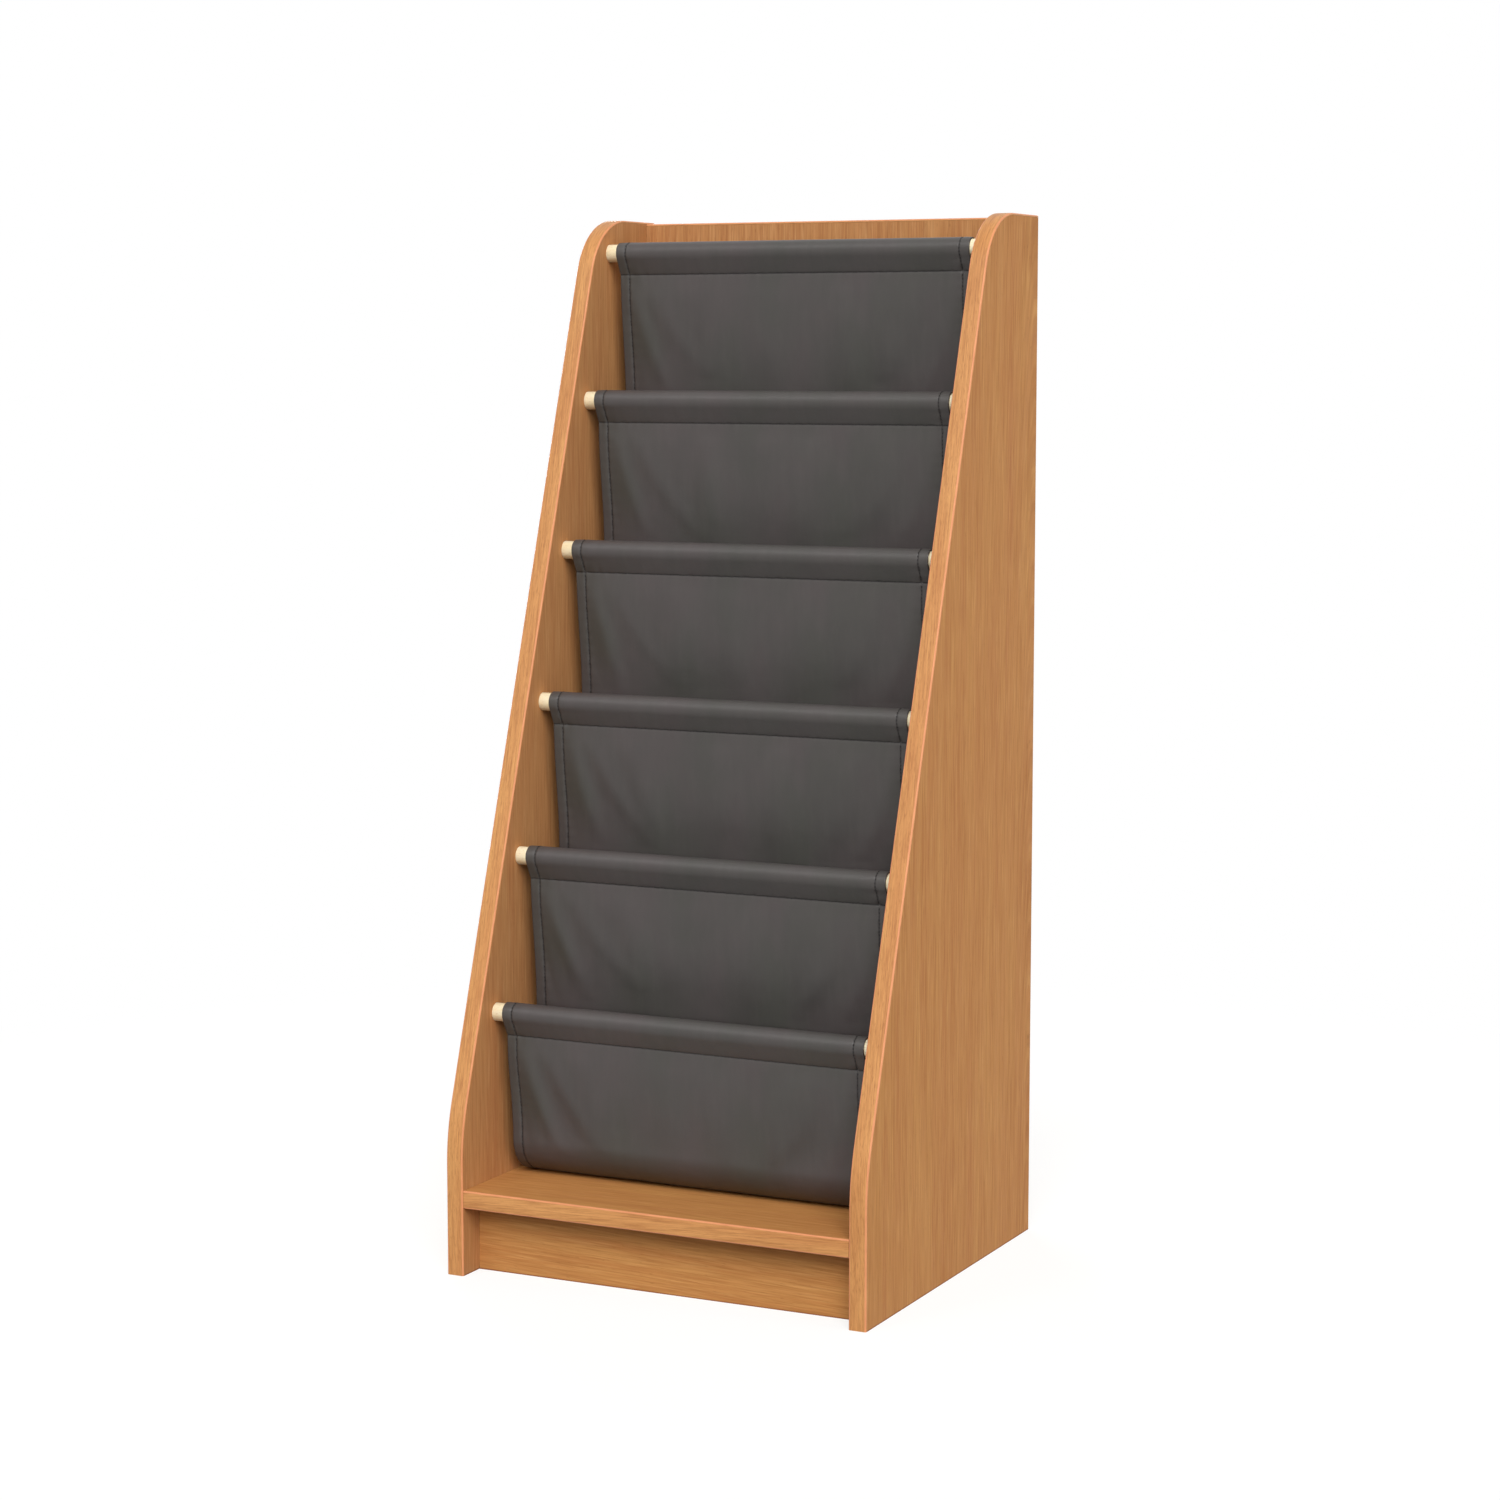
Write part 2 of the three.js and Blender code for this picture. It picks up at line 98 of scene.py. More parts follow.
# %% [markdown]
# ## Shader helpers
#
# A procedural material is a small graph of nodes, and building one by hand takes many lines. These
# helpers keep the graphs readable. The first turns a colour as a screen shows it into the linear
# light that the renderer works in. The next ones make single nodes and fill in their sockets, and
# the last one ends a graph in one shader, with its gloss and its relief.

# %% Shader helpers
def linear(red, green, blue):
    """A colour given as a screen shows it, from 0 to 255, in linear light."""
    shares = (value / 255 for value in (red, green, blue))
    return tuple(s / 12.92 if s <= 0.04045 else ((s + 0.055) / 1.055) ** 2.4 for s in shares) + (1.0,)


def add_node(tree, kind, values=None, **settings):
    """A new node. A value that is a socket is linked, any other is written into the input."""
    node = tree.nodes.new(kind)
    for name, value in settings.items():
        setattr(node, name, value)
    for key, value in (values or {}).items():
        if isinstance(value, bpy.types.NodeSocket):
            tree.links.new(value, node.inputs[key])
        else:
            node.inputs[key].default_value = value
    return node


def new_material(name):
    """An empty material with its output, and the tree to fill."""
    material = bpy.data.materials.new(name)
    material.use_nodes = True
    tree = material.node_tree
    tree.nodes.clear()
    output = add_node(tree, "ShaderNodeOutputMaterial")
    return material, tree, output


def mix(tree, factor, first, second, blend="MIX"):
    """Two colours mixed by a factor."""
    node = add_node(tree, "ShaderNodeMix", data_type="RGBA", blend_type=blend)
    for socket, value in ((node.inputs[0], factor), (node.inputs[6], first), (node.inputs[7], second)):
        if isinstance(value, bpy.types.NodeSocket):
            tree.links.new(value, socket)
        else:
            socket.default_value = value
    return node.outputs[2]


def ink_over(tree, tone, factor, ink, start, end, most):
    """Lays an ink over a tone: none where the factor is at start, and its most beyond end."""
    node = add_node(tree, "ShaderNodeValToRGB", {"Fac": factor})
    for element, (place, share) in zip(node.color_ramp.elements, sorted([(start, 0.0), (end, most)])):
        element.position = place
        element.color = (share, share, share, 1.0)
    return mix(tree, node.outputs["Color"], tone, ink)


def math_node(tree, operation, first, second=0.0):
    node = add_node(tree, "ShaderNodeMath", {0: first, 1: second}, operation=operation)
    return node.outputs[0]


def noise_at(tree, vector, scale, detail=2.0, roughness=0.5, distortion=0.0):
    return add_node(tree, "ShaderNodeTexNoise", {
        "Vector": vector, "Scale": scale, "Detail": detail, "Roughness": roughness,
        "Distortion": distortion}).outputs["Fac"]


def coordinates(tree):
    """The place of a point in its object, whose origin is the origin of the frame."""
    return add_node(tree, "ShaderNodeTexCoord").outputs["Object"]


def mapped(tree, place, **values):
    """A place that is moved, turned or scaled before a pattern is looked up there."""
    return add_node(tree, "ShaderNodeMapping", {"Vector": place, **values}).outputs[0]


def remap(tree, value, span, result, **settings):
    """Carries a value from one span to another, and holds it at both ends."""
    return add_node(tree, "ShaderNodeMapRange", {
        "Value": value, "From Min": span[0], "From Max": span[1],
        "To Min": result[0], "To Max": result[1]}, **settings).outputs[0]


def surface(tree, output, tone, roughness, specular=0.5, metallic=0.0, relief=None, strength=0.0, depth=0.0):
    """The shader of a finish. The relief is a height that only the light feels."""
    shader = add_node(tree, "ShaderNodeBsdfPrincipled", {
        "Base Color": tone, "Roughness": roughness, "Specular IOR Level": specular, "Metallic": metallic})
    if relief is not None:
        bump = add_node(tree, "ShaderNodeBump", {"Height": relief, "Strength": strength, "Distance": depth})
        tree.links.new(bump.outputs[0], shader.inputs["Normal"])
    tree.links.new(shader.outputs[0], output.inputs["Surface"])


print("helpers ready")

# %% [markdown]
# ## Floor and background
#
# The photograph is a studio cut-out: white behind, and light that comes from nearly everywhere.
# White could be had by lighting the floor until it burns out, but the same lamps would then bleach
# the wood. So the lamps stay at a plain level, and only what the camera sees of the floor and the
# sky is lifted to white. The floor still takes the shelf's shadow. Glossy and transmitted rays
# get the same lift, so that metal reflects the background that the camera sees. The light of the
# sky itself fades from the horizon upwards, because the tops in the photograph aren't brighter
# than the fronts.

# %% Background and floor
sky_low, sky_high = 0.48, 0.14
floor_tone = linear(142, 142, 140)
floor_lift = 0.755
floor_half = 9.0
shadow_reach = (0.75, 1.5)


def seen_directly(tree):
    """1 for rays from the camera, a mirror or glass, and 0 for the rays that carry light."""
    path = add_node(tree, "ShaderNodeLightPath").outputs
    mirrored = math_node(tree, "MAXIMUM", path["Is Glossy Ray"], path["Is Transmission Ray"])
    return math_node(tree, "MAXIMUM", path["Is Camera Ray"], mirrored)


world = bpy.data.worlds.new("studio")
world.use_nodes = True
world.node_tree.nodes.clear()
way = add_node(world.node_tree, "ShaderNodeTexCoord").outputs["Generated"]
climb = add_node(world.node_tree, "ShaderNodeSeparateXYZ", {0: way}).outputs["Z"]
dome = remap(world.node_tree, climb, (0.0, 1.0), (sky_low, sky_high))
sky = add_node(world.node_tree, "ShaderNodeBackground", {"Color": (1, 1, 1, 1), "Strength": dome})
white = add_node(world.node_tree, "ShaderNodeBackground", {"Color": (1, 1, 1, 1), "Strength": 1.0})
sky_mix = add_node(world.node_tree, "ShaderNodeMixShader", {
    0: seen_directly(world.node_tree), 1: sky.outputs[0], 2: white.outputs[0]})
add_node(world.node_tree, "ShaderNodeOutputWorld", {"Surface": sky_mix.outputs[0]})
bpy.context.scene.world = world

floor_finish, tree, output = new_material("pale_floor")
paint = add_node(tree, "ShaderNodeBsdfDiffuse", {"Color": floor_tone})
lift = add_node(tree, "ShaderNodeEmission", {
    "Strength": math_node(tree, "MULTIPLY", seen_directly(tree), floor_lift)})
near_floor = add_node(tree, "ShaderNodeAddShader", {0: paint.outputs[0], 1: lift.outputs[0]})
far_floor = add_node(tree, "ShaderNodeEmission", {"Strength": 1.0})
reach = add_node(tree, "ShaderNodeVectorMath", {0: coordinates(tree)}, operation="LENGTH").outputs["Value"]
fade = remap(tree, reach, shadow_reach, (0.0, 1.0), interpolation_type="SMOOTHSTEP")
fade = math_node(tree, "MULTIPLY", fade, seen_directly(tree))
blended = add_node(tree, "ShaderNodeMixShader", {
    0: fade, 1: near_floor.outputs[0], 2: far_floor.outputs[0]})
tree.links.new(blended.outputs[0], output.inputs["Surface"])

bm = bmesh.new()
bmesh.ops.create_grid(bm, x_segments=2, y_segments=2, size=floor_half)
floor_mesh = bpy.data.meshes.new("floor")
bm.to_mesh(floor_mesh)
bm.free()
floor = bpy.data.objects.new("floor", floor_mesh)
floor.data.materials.append(floor_finish)
bpy.context.scene.collection.objects.link(floor)
print("floor", 2 * floor_half, "m wide, sky from", sky_low, "to", sky_high)

# %% [markdown]
# ## Lamps
#
# The six slings of the photograph are equally bright from top to bottom. A lamp nearby would favour
# the upper ones, so the key light is of the sun kind, which comes from the same direction
# everywhere, and its wide angle keeps the shadows soft. A second and weak one from the front left
# draws the long highlight on the sleeves. Two softboxes fill the right side and the back. The rear
# one stands so low that it lights the back without touching the tops.

# %% Lamps
aim = Vector((0, 0, height / 2))
sun_distance = 5.0
softbox_distance = 4.3
softbox_size = 2.0


def shine(name, kind, azimuth, elevation, distance, strength):
    """A lamp that looks at the middle of the shelf. Azimuth 0 is the front, and 90 the right."""
    turn, lift = math.radians(azimuth), math.radians(elevation)
    way = Vector((math.sin(turn) * math.cos(lift), -math.cos(turn) * math.cos(lift), math.sin(lift)))
    data = bpy.data.lights.new(name, kind)
    data.energy = strength
    lamp = bpy.data.objects.new(name, data)
    lamp.location = aim + way * distance
    lamp.rotation_euler = way.to_track_quat("Z", "Y").to_euler()
    bpy.context.scene.collection.objects.link(lamp)
    return data


def sun(name, azimuth, elevation, strength, angle):
    shine(name, "SUN", azimuth, elevation, sun_distance, strength).angle = math.radians(angle)


def softbox(name, azimuth, elevation, power):
    shine(name, "AREA", azimuth, elevation, softbox_distance, power).size = softbox_size


sun("key", azimuth=28, elevation=38, strength=2.70, angle=40)
sun("gloss", azimuth=-27, elevation=40, strength=0.48, angle=22)
softbox("right_fill", azimuth=83, elevation=11, power=44)
softbox("rear_fill", azimuth=222, elevation=6, power=130)

# %% [markdown]
# ## Beech-effect board
#
# The boards are chipboard with a printed paper face. The print repeats how a plank looks that was
# sawn along a trunk: the year rings show as long lines, nearly straight far from the heart of the
# trunk, and as nested arcs close to it. One picture could be stretched over each board, but it would
# bring its own borders, so the grain is grown instead. The distance from a heart line is worked out
# first, and noise is then looked up along that distance: once wide for the golden and reddish
# bands, twice narrow for the lines, once more for pale streaks, and once short for the flecks.
#
# Each board has its own heart line, because no two boards are cut from the same place of the print.
# Most of these lines run outside the board, which leaves its own lines nearly straight. Along the
# floor the print is darkened to a thin dark line, a painted contact shadow. The left side and the back
# look into the shelf and catch light that other boards have warmed, so their print is painted a
# little cooler to offset that warmer light.

# %% Grain as noise
# A layer of noise: how far it is drawn out along the grain, its scale, detail, roughness, distortion
printed_bands = (22.0, 60.0, 4.0, 0.65)
printed_lines = (40.0, 300.0, 3.0, 0.6)
printed_fine = (40.0, 800.0, 2.0, 0.6)
printed_streaks = (30.0, 460.0, 2.0, 0.5, 0.2)
printed_flecks = (9.0, 900.0, 1.0, 0.5)
heart_taper = 0.05
wobble_stretch = 3.0
slow_wobble_scale, quick_wobble_scale = 7.0, 32.0
slow_wobble_depth = 5.0 * MM


def along_grain(tree, along, stretch, offset, slant=0.0):
    """Object coordinates, drawn out along one or two axes, or a little aslant to them."""
    place = coordinates(tree)
    if slant:
        place = mapped(tree, place, Rotation=(0, slant, 0))
    scale = [1.0 / stretch if axis in along else 1.0 for axis in "XYZ"]
    return mapped(tree, place, Location=offset, Scale=scale)


def grain_layer(tree, along, layer, offset, slant=0.0):
    stretch, *look = layer
    return noise_at(tree, along_grain(tree, along, stretch, offset, slant), *look)


def wobble(tree, along, scale, depth, seed):
    """A sway of the grain to both sides."""
    bent = noise_at(tree, along_grain(tree, along, wobble_stretch, (seed, seed, seed)), scale)
    return math_node(tree, "MULTIPLY", math_node(tree, "SUBTRACT", bent, 0.5), depth)


def ring_place(tree, along, across, heart, wave, seed):
    """A vector that holds the distance from the heart line, the place along it, and a seed."""
    axes = add_node(tree, "ShaderNodeSeparateXYZ", {0: coordinates(tree)}).outputs
    start_across, start_along, lean = heart
    sway = math_node(tree, "ADD", wobble(tree, along, slow_wobble_scale, slow_wobble_depth, seed),
                     wobble(tree, along, quick_wobble_scale, wave, seed + 0.5))
    drift = math_node(tree, "MULTIPLY", axes[along], lean)
    side = math_node(tree, "SUBTRACT", axes[across], math_node(tree, "ADD", drift, start_across))
    side = math_node(tree, "ADD", side, sway)
    rise = math_node(tree, "MULTIPLY", math_node(tree, "SUBTRACT", axes[along], start_along), heart_taper)
    squares = math_node(tree, "ADD", math_node(tree, "MULTIPLY", side, side),
                        math_node(tree, "MULTIPLY", rise, rise))
    distance = math_node(tree, "SQRT", squares)
    return add_node(tree, "ShaderNodeCombineXYZ", {0: distance, 1: axes[along], 2: seed}).outputs[0]


def ring_layer(tree, rings, layer, run=1.0, finer=1.0):
    """Noise on the rings' vector, with the place along the grain drawn out."""
    stretch, scale, *look = layer
    drawn = mapped(tree, rings, Scale=(1.0, 1.0 / (stretch * run), 1.0))
    return noise_at(tree, drawn, scale * finer, *look)


print("grain layers on a board: bands, lines, fine lines, streaks, flecks")

# %% Board material
board_golden = linear(200, 145, 84)
board_reddish = linear(183, 121, 69)
board_line = linear(150, 93, 50)
board_pale = linear(214, 162, 100)
board_fleck = linear(122, 72, 36)
# Tone of the painted contact shadow where the boards meet the floor
foot_shade_tone = linear(126, 66, 36)
plain_tint = (1.0, 1.0, 1.0, 1.0)
# Painted offset for light: the boards that look into the shelf are tinted cooler against the warm light
# bounced onto them
warm_bounce_offset_tint = (0.99, 1.02, 1.24, 1.0)
# The painted contact shadow fades out between these heights above the floor, and is nearly full below them
foot_shade_heights = (0.4 * MM, 1.7 * MM)
foot_shade_share = 0.85
line_span = (0.3, 0.7)
board_roughness = (0.50, 0.60)


def board_finish(name, along, across, heart, grain, seed, tint):
    """Printed wood. grain holds the strength of its lines, their length, how fine they are, and
    the depth of their waves."""
    strength, run, fineness, wave = grain
    material, tree, output = new_material(name)
    rings = ring_place(tree, along, across, heart, wave, seed)
    bands = ring_layer(tree, rings, printed_bands, run * fineness, fineness)
    lines = ring_layer(tree, rings, printed_lines, run, math.sqrt(fineness))
    fine = ring_layer(tree, rings, printed_fine, run)
    streaks = ring_layer(tree, rings, printed_streaks, run)
    flecks = ring_layer(tree, rings, printed_flecks)

    tone = ink_over(tree, board_golden, bands, board_reddish, start=0.25, end=0.75, most=1.0)
    tone = ink_over(tree, tone, lines, board_line, start=0.46, end=0.68, most=0.30 * strength)
    tone = ink_over(tree, tone, streaks, board_pale, start=0.52, end=0.72, most=0.45 * strength)
    tone = ink_over(tree, tone, fine, board_line, start=0.42, end=0.70, most=0.36 * strength)
    tone = ink_over(tree, tone, flecks, board_fleck, start=0.66, end=0.76, most=0.30 * strength)
    lift = add_node(tree, "ShaderNodeSeparateXYZ", {0: coordinates(tree)}).outputs["Z"]
    # Painted contact shadow: the print darkens to a thin line where the board meets the floor
    tone = mix(tree, remap(tree, lift, foot_shade_heights, (foot_shade_share, 0.0)), tone, foot_shade_tone)
    # A tint multiplied over the print; on the inner boards it is a painted offset for warm bounced light
    tone = mix(tree, 1.0, tone, tint, blend="MULTIPLY")
    roughness = remap(tree, lines, line_span, board_roughness)
    relief = math_node(tree, "ADD", fine, flecks)
    surface(tree, output, tone, roughness, specular=0.12, relief=relief, strength=0.10, depth=0.2 * MM)
    return material


# Along and across the grain; the heart line's place across, its start and its lean; the grain's
# strength, length, fineness and waves; a seed; and a tint
boards = {
    "left_side_panel": ("Z", "Y", (0.52, 0.0, 0.0), (0.9, 0.9, 1.0, 0.8 * MM), 3.1, warm_bounce_offset_tint),
    "right_side_panel": ("Z", "Y", (0.20, -0.12, 0.0), (1.0, 0.9, 1.15, 0.8 * MM), 7.4, plain_tint),
    "back_panel": ("Z", "X", (0.36, -0.20, 0.0), (1.25, 0.8, 1.0, 1.0 * MM), 1.9, warm_bounce_offset_tint),
    "base_shelf": ("X", "Y", (0.55, 0.3, 0.03), (0.8, 0.6, 1.3, 1.2 * MM), 5.2, plain_tint),
    "plinth": ("X", "Z", (-0.60, 0.2, -0.03), (1.05, 0.9, 1.9, 0.9 * MM), 9.6, plain_tint),
}


def dress(node, material):
    """Gives a CAD node its material without touching its mesh."""
    nodes[node].material_slots[0].material = material


for node, board_print in boards.items():
    dress(node, board_finish(f"{node}_print", *board_print))
print("boards dressed:", ", ".join(boards))

# %% [markdown]
# ## Edging
#
# The cut edges of the boards are covered with a strip of plastic, 2 mm thick, printed with the same
# wood but a little lighter. After gluing, its long edges are milled round, and the cutter goes
# through the print: the plain salmon-pink plastic shows as a thin line. So the strip gets two
# materials, and the faces of the rounding take the second.
#
# The strip is a sweep. Its section is one small face with two rounded corners, which is extruded
# up the foot, spun round the bend, extruded up the slope, spun round the top corner and extruded to
# the back. Extruding a face carries its outline along and leaves a clean wall behind it.

# %% Edging materials
edging_light = linear(211, 153, 93)
edging_warm = linear(198, 137, 82)
edging_fleck = linear(150, 90, 48)
edging_soft = (16.0, 110.0, 3.0, 0.6, 0.4)
edging_lines = (24.0, 700.0, 3.0, 0.6, 0.2)
edging_flecks = (9.0, 1150.0, 2.0, 0.6, 0.2)
grain_slant = math.radians(3)
# The dark flecks of the side strips are stronger than those of the two straight strips
side_speckle, strip_speckle = 0.42, 0.20
core_colour = linear(219, 147, 101)
core_shade = linear(209, 137, 93)
core_mark_scale = 70.0


def edging_finish(name, along, offset, speckle):
    """The strip's print. speckle is how much of the ink its flecks take."""
    material, tree, output = new_material(name)
    soft = grain_layer(tree, along, edging_soft, offset)
    lines = grain_layer(tree, along, edging_lines, offset, grain_slant)
    flecks = grain_layer(tree, along, edging_flecks, offset, grain_slant)
    tone = ink_over(tree, edging_light, soft, edging_warm, start=0.35, end=0.65, most=1.0)
    tone = ink_over(tree, tone, lines, edging_fleck, start=0.42, end=0.68, most=0.52)
    tone = ink_over(tree, tone, flecks, edging_fleck, start=0.52, end=0.68, most=speckle)
    surface(tree, output, tone, roughness=0.46, specular=0.28, relief=flecks, strength=0.08, depth=0.2 * MM)
    return material


def core_finish():
    """The bare plastic of the edging, where the print was milled away."""
    material, tree, output = new_material("edging_core")
    marks = noise_at(tree, coordinates(tree), core_mark_scale)
    tone = ink_over(tree, core_colour, marks, core_shade, start=0.3, end=0.7, most=1.0)
    surface(tree, output, tone, roughness=0.42, specular=0.25, relief=marks, strength=0.06, depth=0.1 * MM)
    return material


edging_core = core_finish()
print("edging materials ready")

# %% Helpers for finished pieces
merge_distance = 0.001 * MM


def finish_piece(bm, name, materials, replaced=(), smooth_under=40):
    """Turns a bmesh into a piece of the shelf: closed, normals out, soft where it is round."""
    bmesh.ops.remove_doubles(bm, verts=bm.verts, dist=merge_distance)
    bmesh.ops.recalc_face_normals(bm, faces=bm.faces)
    open_edges = sum(not edge.is_manifold for edge in bm.edges)
    for face in bm.faces:
        face.smooth = True
    for edge in bm.edges:
        edge.smooth = edge.is_manifold and edge.calc_face_angle() < math.radians(smooth_under)
    mesh = bpy.data.meshes.new(name)
    bm.to_mesh(mesh)
    bm.free()
    for material in materials:
        mesh.materials.append(material)
    piece = bpy.data.objects.new(name, mesh)
    bpy.context.scene.collection.objects.link(piece)
    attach(piece, "root")
    if replaced:
        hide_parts(*replaced)
    print(f"{name}: {len(mesh.polygons)} faces, {open_edges} open edges")
    return piece


def only(kind, elements):
    return [element for element in elements if isinstance(element, kind)]


def drop_inner(bm, faces):
    """Takes out faces that an extrusion left standing inside the new body."""
    inner = [face for face in faces if face.is_valid and all(len(e.link_faces) > 2 for e in face.edges)]
    bmesh.ops.delete(bm, geom=inner, context="FACES_ONLY")


def sweep_along(bm, face, way):
    """Extrudes the end face of a sweep straight on."""
    grown = bmesh.ops.extrude_face_region(bm, geom=[face])["geom"]
    bmesh.ops.translate(bm, verts=only(bmesh.types.BMVert, grown), vec=way)
    drop_inner(bm, [face])
    return only(bmesh.types.BMFace, grown)[0]


def sweep_round(bm, face, centre, turn, steps):
    """Spins the end face of a sweep about an axis along X."""
    geometry = [face, *face.edges, *face.verts]
    spun = bmesh.ops.spin(bm, geom=geometry, cent=centre, axis=(1, 0, 0), angle=turn, steps=steps,
                          use_merge=False)
    return only(bmesh.types.BMFace, spun["geom_last"])[0]


print("piece helpers ready")

# %% Section of the edging
edging_thickness = 2.0 * MM
edging_arris = 1.6 * MM
arris_segments = 6
flat_limits = (0.02, 0.98)


def edging_section(bm, width):
    """A flat face in XY, width by edging thickness, with its two outer corners rounded."""
    made = bmesh.ops.create_grid(bm, x_segments=1, y_segments=1, size=0.5)["verts"]
    bmesh.ops.scale(bm, vec=(width, edging_thickness, 1), verts=made)
    bmesh.ops.translate(bm, vec=(0, edging_thickness / 2, 0), verts=made)
    corners = [vertex for vertex in made if vertex.co.y < edging_thickness / 2]
    bmesh.ops.bevel(bm, geom=corners, affect="VERTICES", offset=edging_arris, offset_type="OFFSET",
                    segments=arris_segments, profile=0.5, material=-1)
    return bm.faces[:][0]


def mark_arrises(bm):
    """Gives the second material to the rounded faces, which lean between outwards and sideways."""
    bmesh.ops.recalc_face_normals(bm, faces=bm.faces)
    for face in bm.faces:
        face.material_index = int(flat_limits[0] < abs(face.normal.x) < flat_limits[1])


print("edging", edging_thickness / MM, "mm thick, arris", edging_arris / MM, "mm")

# %% Side edging, swept round the panel
# The frame's boxes don't tell the outline of a side panel, so its sizes are repeated from the CAD
foot_height = 141.0 * MM
top_length = 119.5 * MM
foot_bend_radius = 200.0 * MM
top_corner_radius = 75.0 * MM
bend_steps = 16
corner_steps = 36
slope = math.atan2(rear - front - top_length, height - foot_height)


def side_edging(side, name, node):
    bm = bmesh.new()
    face = edging_section(bm, board)
    middle = side * (side_inner + board / 2)
    bmesh.ops.translate(bm, vec=(middle, front, 0), verts=bm.verts)
    bend_height = foot_height - foot_bend_radius * math.tan(slope / 2)
    face = sweep_along(bm, face, (0, 0, bend_height))
    face = sweep_round(bm, face, (0, front + foot_bend_radius, bend_height), -slope, bend_steps)
    bend_end = Vector((0, front + foot_bend_radius * (1 - math.cos(slope)),
                       bend_height + foot_bend_radius * math.sin(slope)))
    corner_height = height - top_corner_radius
    slope_there = front + (corner_height - foot_height) * math.tan(slope)
    corner = Vector((0, slope_there + top_corner_radius / math.cos(slope), corner_height))
    corner_start = corner + top_corner_radius * Vector((0, -math.cos(slope), math.sin(slope)))
    face = sweep_along(bm, face, corner_start - bend_end)
    face = sweep_round(bm, face, corner, slope - math.radians(90), corner_steps)
    sweep_along(bm, face, (0, rear - corner.y, 0))
    mark_arrises(bm)
    finish = edging_finish(f"{node}_print", "YZ", (0.4 + side, 0.3, 0.2 * side), side_speckle)
    finish_piece(bm, name, [finish, edging_core], [node])


side_edging(-1, "left_edging_strip", "left_side_edging")
side_edging(1, "right_edging_strip", "right_side_edging")

# %% Straight strips on the shelf's front and the back panel's top
def straight_edging(name, node, outwards):
    """A strip along X. outwards is the direction that its face looks in, -Y or +Z."""
    low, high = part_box(node)
    bm = bmesh.new()
    face = edging_section(bm, board)
    sweep_along(bm, face, (0, 0, high.x - low.x))
    for face in bm.faces:
        face.normal_update()
    mark_arrises(bm)
    middle = (low + high) / 2
    if outwards == "-Y":
        axes = Matrix(((0, 0, 1), (0, 1, 0), (1, 0, 0))).to_4x4()
        start = Vector((low.x, low.y, middle.z))
    else:
        axes = Matrix(((0, 0, 1), (1, 0, 0), (0, -1, 0))).to_4x4()
        start = Vector((low.x, middle.y, high.z))
    bmesh.ops.transform(bm, matrix=Matrix.Translation(start) @ axes, verts=bm.verts)
    finish = edging_finish(f"{node}_print", "X", (0.7, 0.5, 1.3), strip_speckle)
    finish_piece(bm, name, [finish, edging_core], [node])


straight_edging("shelf_edging_strip", "base_shelf_edging", "-Y")
straight_edging("back_edging_strip", "back_panel_edging", "+Z")

# %% [markdown]
# ## Dowels
#
# The rods are turned beech, sanded and left bare, much paler than the boards. A dowel is a cylinder
# with its rims broken by a small chamfer, so it starts from create_cone with two equal radii. The
# grain runs along the rod, and the sanding leaves fine pores that show as tiny specks.

# %% Dowel material
dowel_pale = linear(250, 241, 210)
dowel_straw = linear(243, 228, 186)
dowel_pore = linear(214, 178, 122)
dowel_bands = (12.0, 150.0, 3.0, 0.6, 0.3)
dowel_pores = (5.0, 1400.0, 2.0, 0.6)


def dowel_finish():
    material, tree, output = new_material("sanded_beech")
    bands = grain_layer(tree, "X", dowel_bands, (0.2, 0.5, 0.1))
    pores = grain_layer(tree, "X", dowel_pores, (0.6, 0.1, 0.8))
    tone = ink_over(tree, dowel_pale, bands, dowel_straw, start=0.3, end=0.7, most=1.0)
    tone = ink_over(tree, tone, pores, dowel_pore, start=0.58, end=0.70, most=0.6)
    surface(tree, output, tone, roughness=0.62, specular=0.3, relief=pores, strength=0.15, depth=0.15 * MM)
    return material


beech = dowel_finish()
print("dowel material ready")

# %% Dowels
dowel_segments = 64
rim_chamfer = 0.6 * MM
rim_angle = math.radians(60)
turn_to_x = Matrix.Rotation(math.radians(90), 4, "Y")


def dowel_rod(node):
    low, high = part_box(node)
    radius = (high.z - low.z) / 2
    bm = bmesh.new()
    bmesh.ops.create_cone(bm, cap_ends=True, segments=dowel_segments, radius1=radius, radius2=radius,
                          depth=high.x - low.x)
    rims = [edge for edge in bm.edges if edge.calc_face_angle() > rim_angle]
    bmesh.ops.bevel(bm, geom=rims, affect="EDGES", offset=rim_chamfer, offset_type="OFFSET", segments=2,
                    profile=0.5, material=-1)
    place = Matrix.Translation((low + high) / 2) @ turn_to_x
    bmesh.ops.transform(bm, matrix=place, verts=bm.verts)
    finish_piece(bm, f"{node}_rod", [beech], [node])


for tier in range(1, tiers + 1):
    dowel_rod(f"front_dowel_{tier}")
    dowel_rod(f"rear_dowel_{tier}")

# %% [markdown]
# ## Cam fastenings
#
# From behind and from below, the round heads of the cams show in the boards. They are die-cast
# zinc: a disc with a broken rim and a cross recess for the screwdriver. The disc's face is cut by
# eight planes, which leave a cross of small faces in its middle, and these are pushed down.

# %% Zinc
zinc_dull = linear(176, 178, 180)
zinc_bright = linear(212, 213, 214)
# Scale, detail and roughness of the noise
zinc_cast = (900.0, 4.0, 0.6)
zinc_roughness = (0.30, 0.48)


def zinc_finish():
    material, tree, output = new_material("zinc")
    cast = noise_at(tree, coordinates(tree), *zinc_cast)
    tone = mix(tree, cast, zinc_dull, zinc_bright)
    roughness = remap(tree, cast, (0.0, 1.0), zinc_roughness)
    surface(tree, output, tone, roughness, metallic=1.0, relief=cast, strength=0.12, depth=0.1 * MM)
    return material


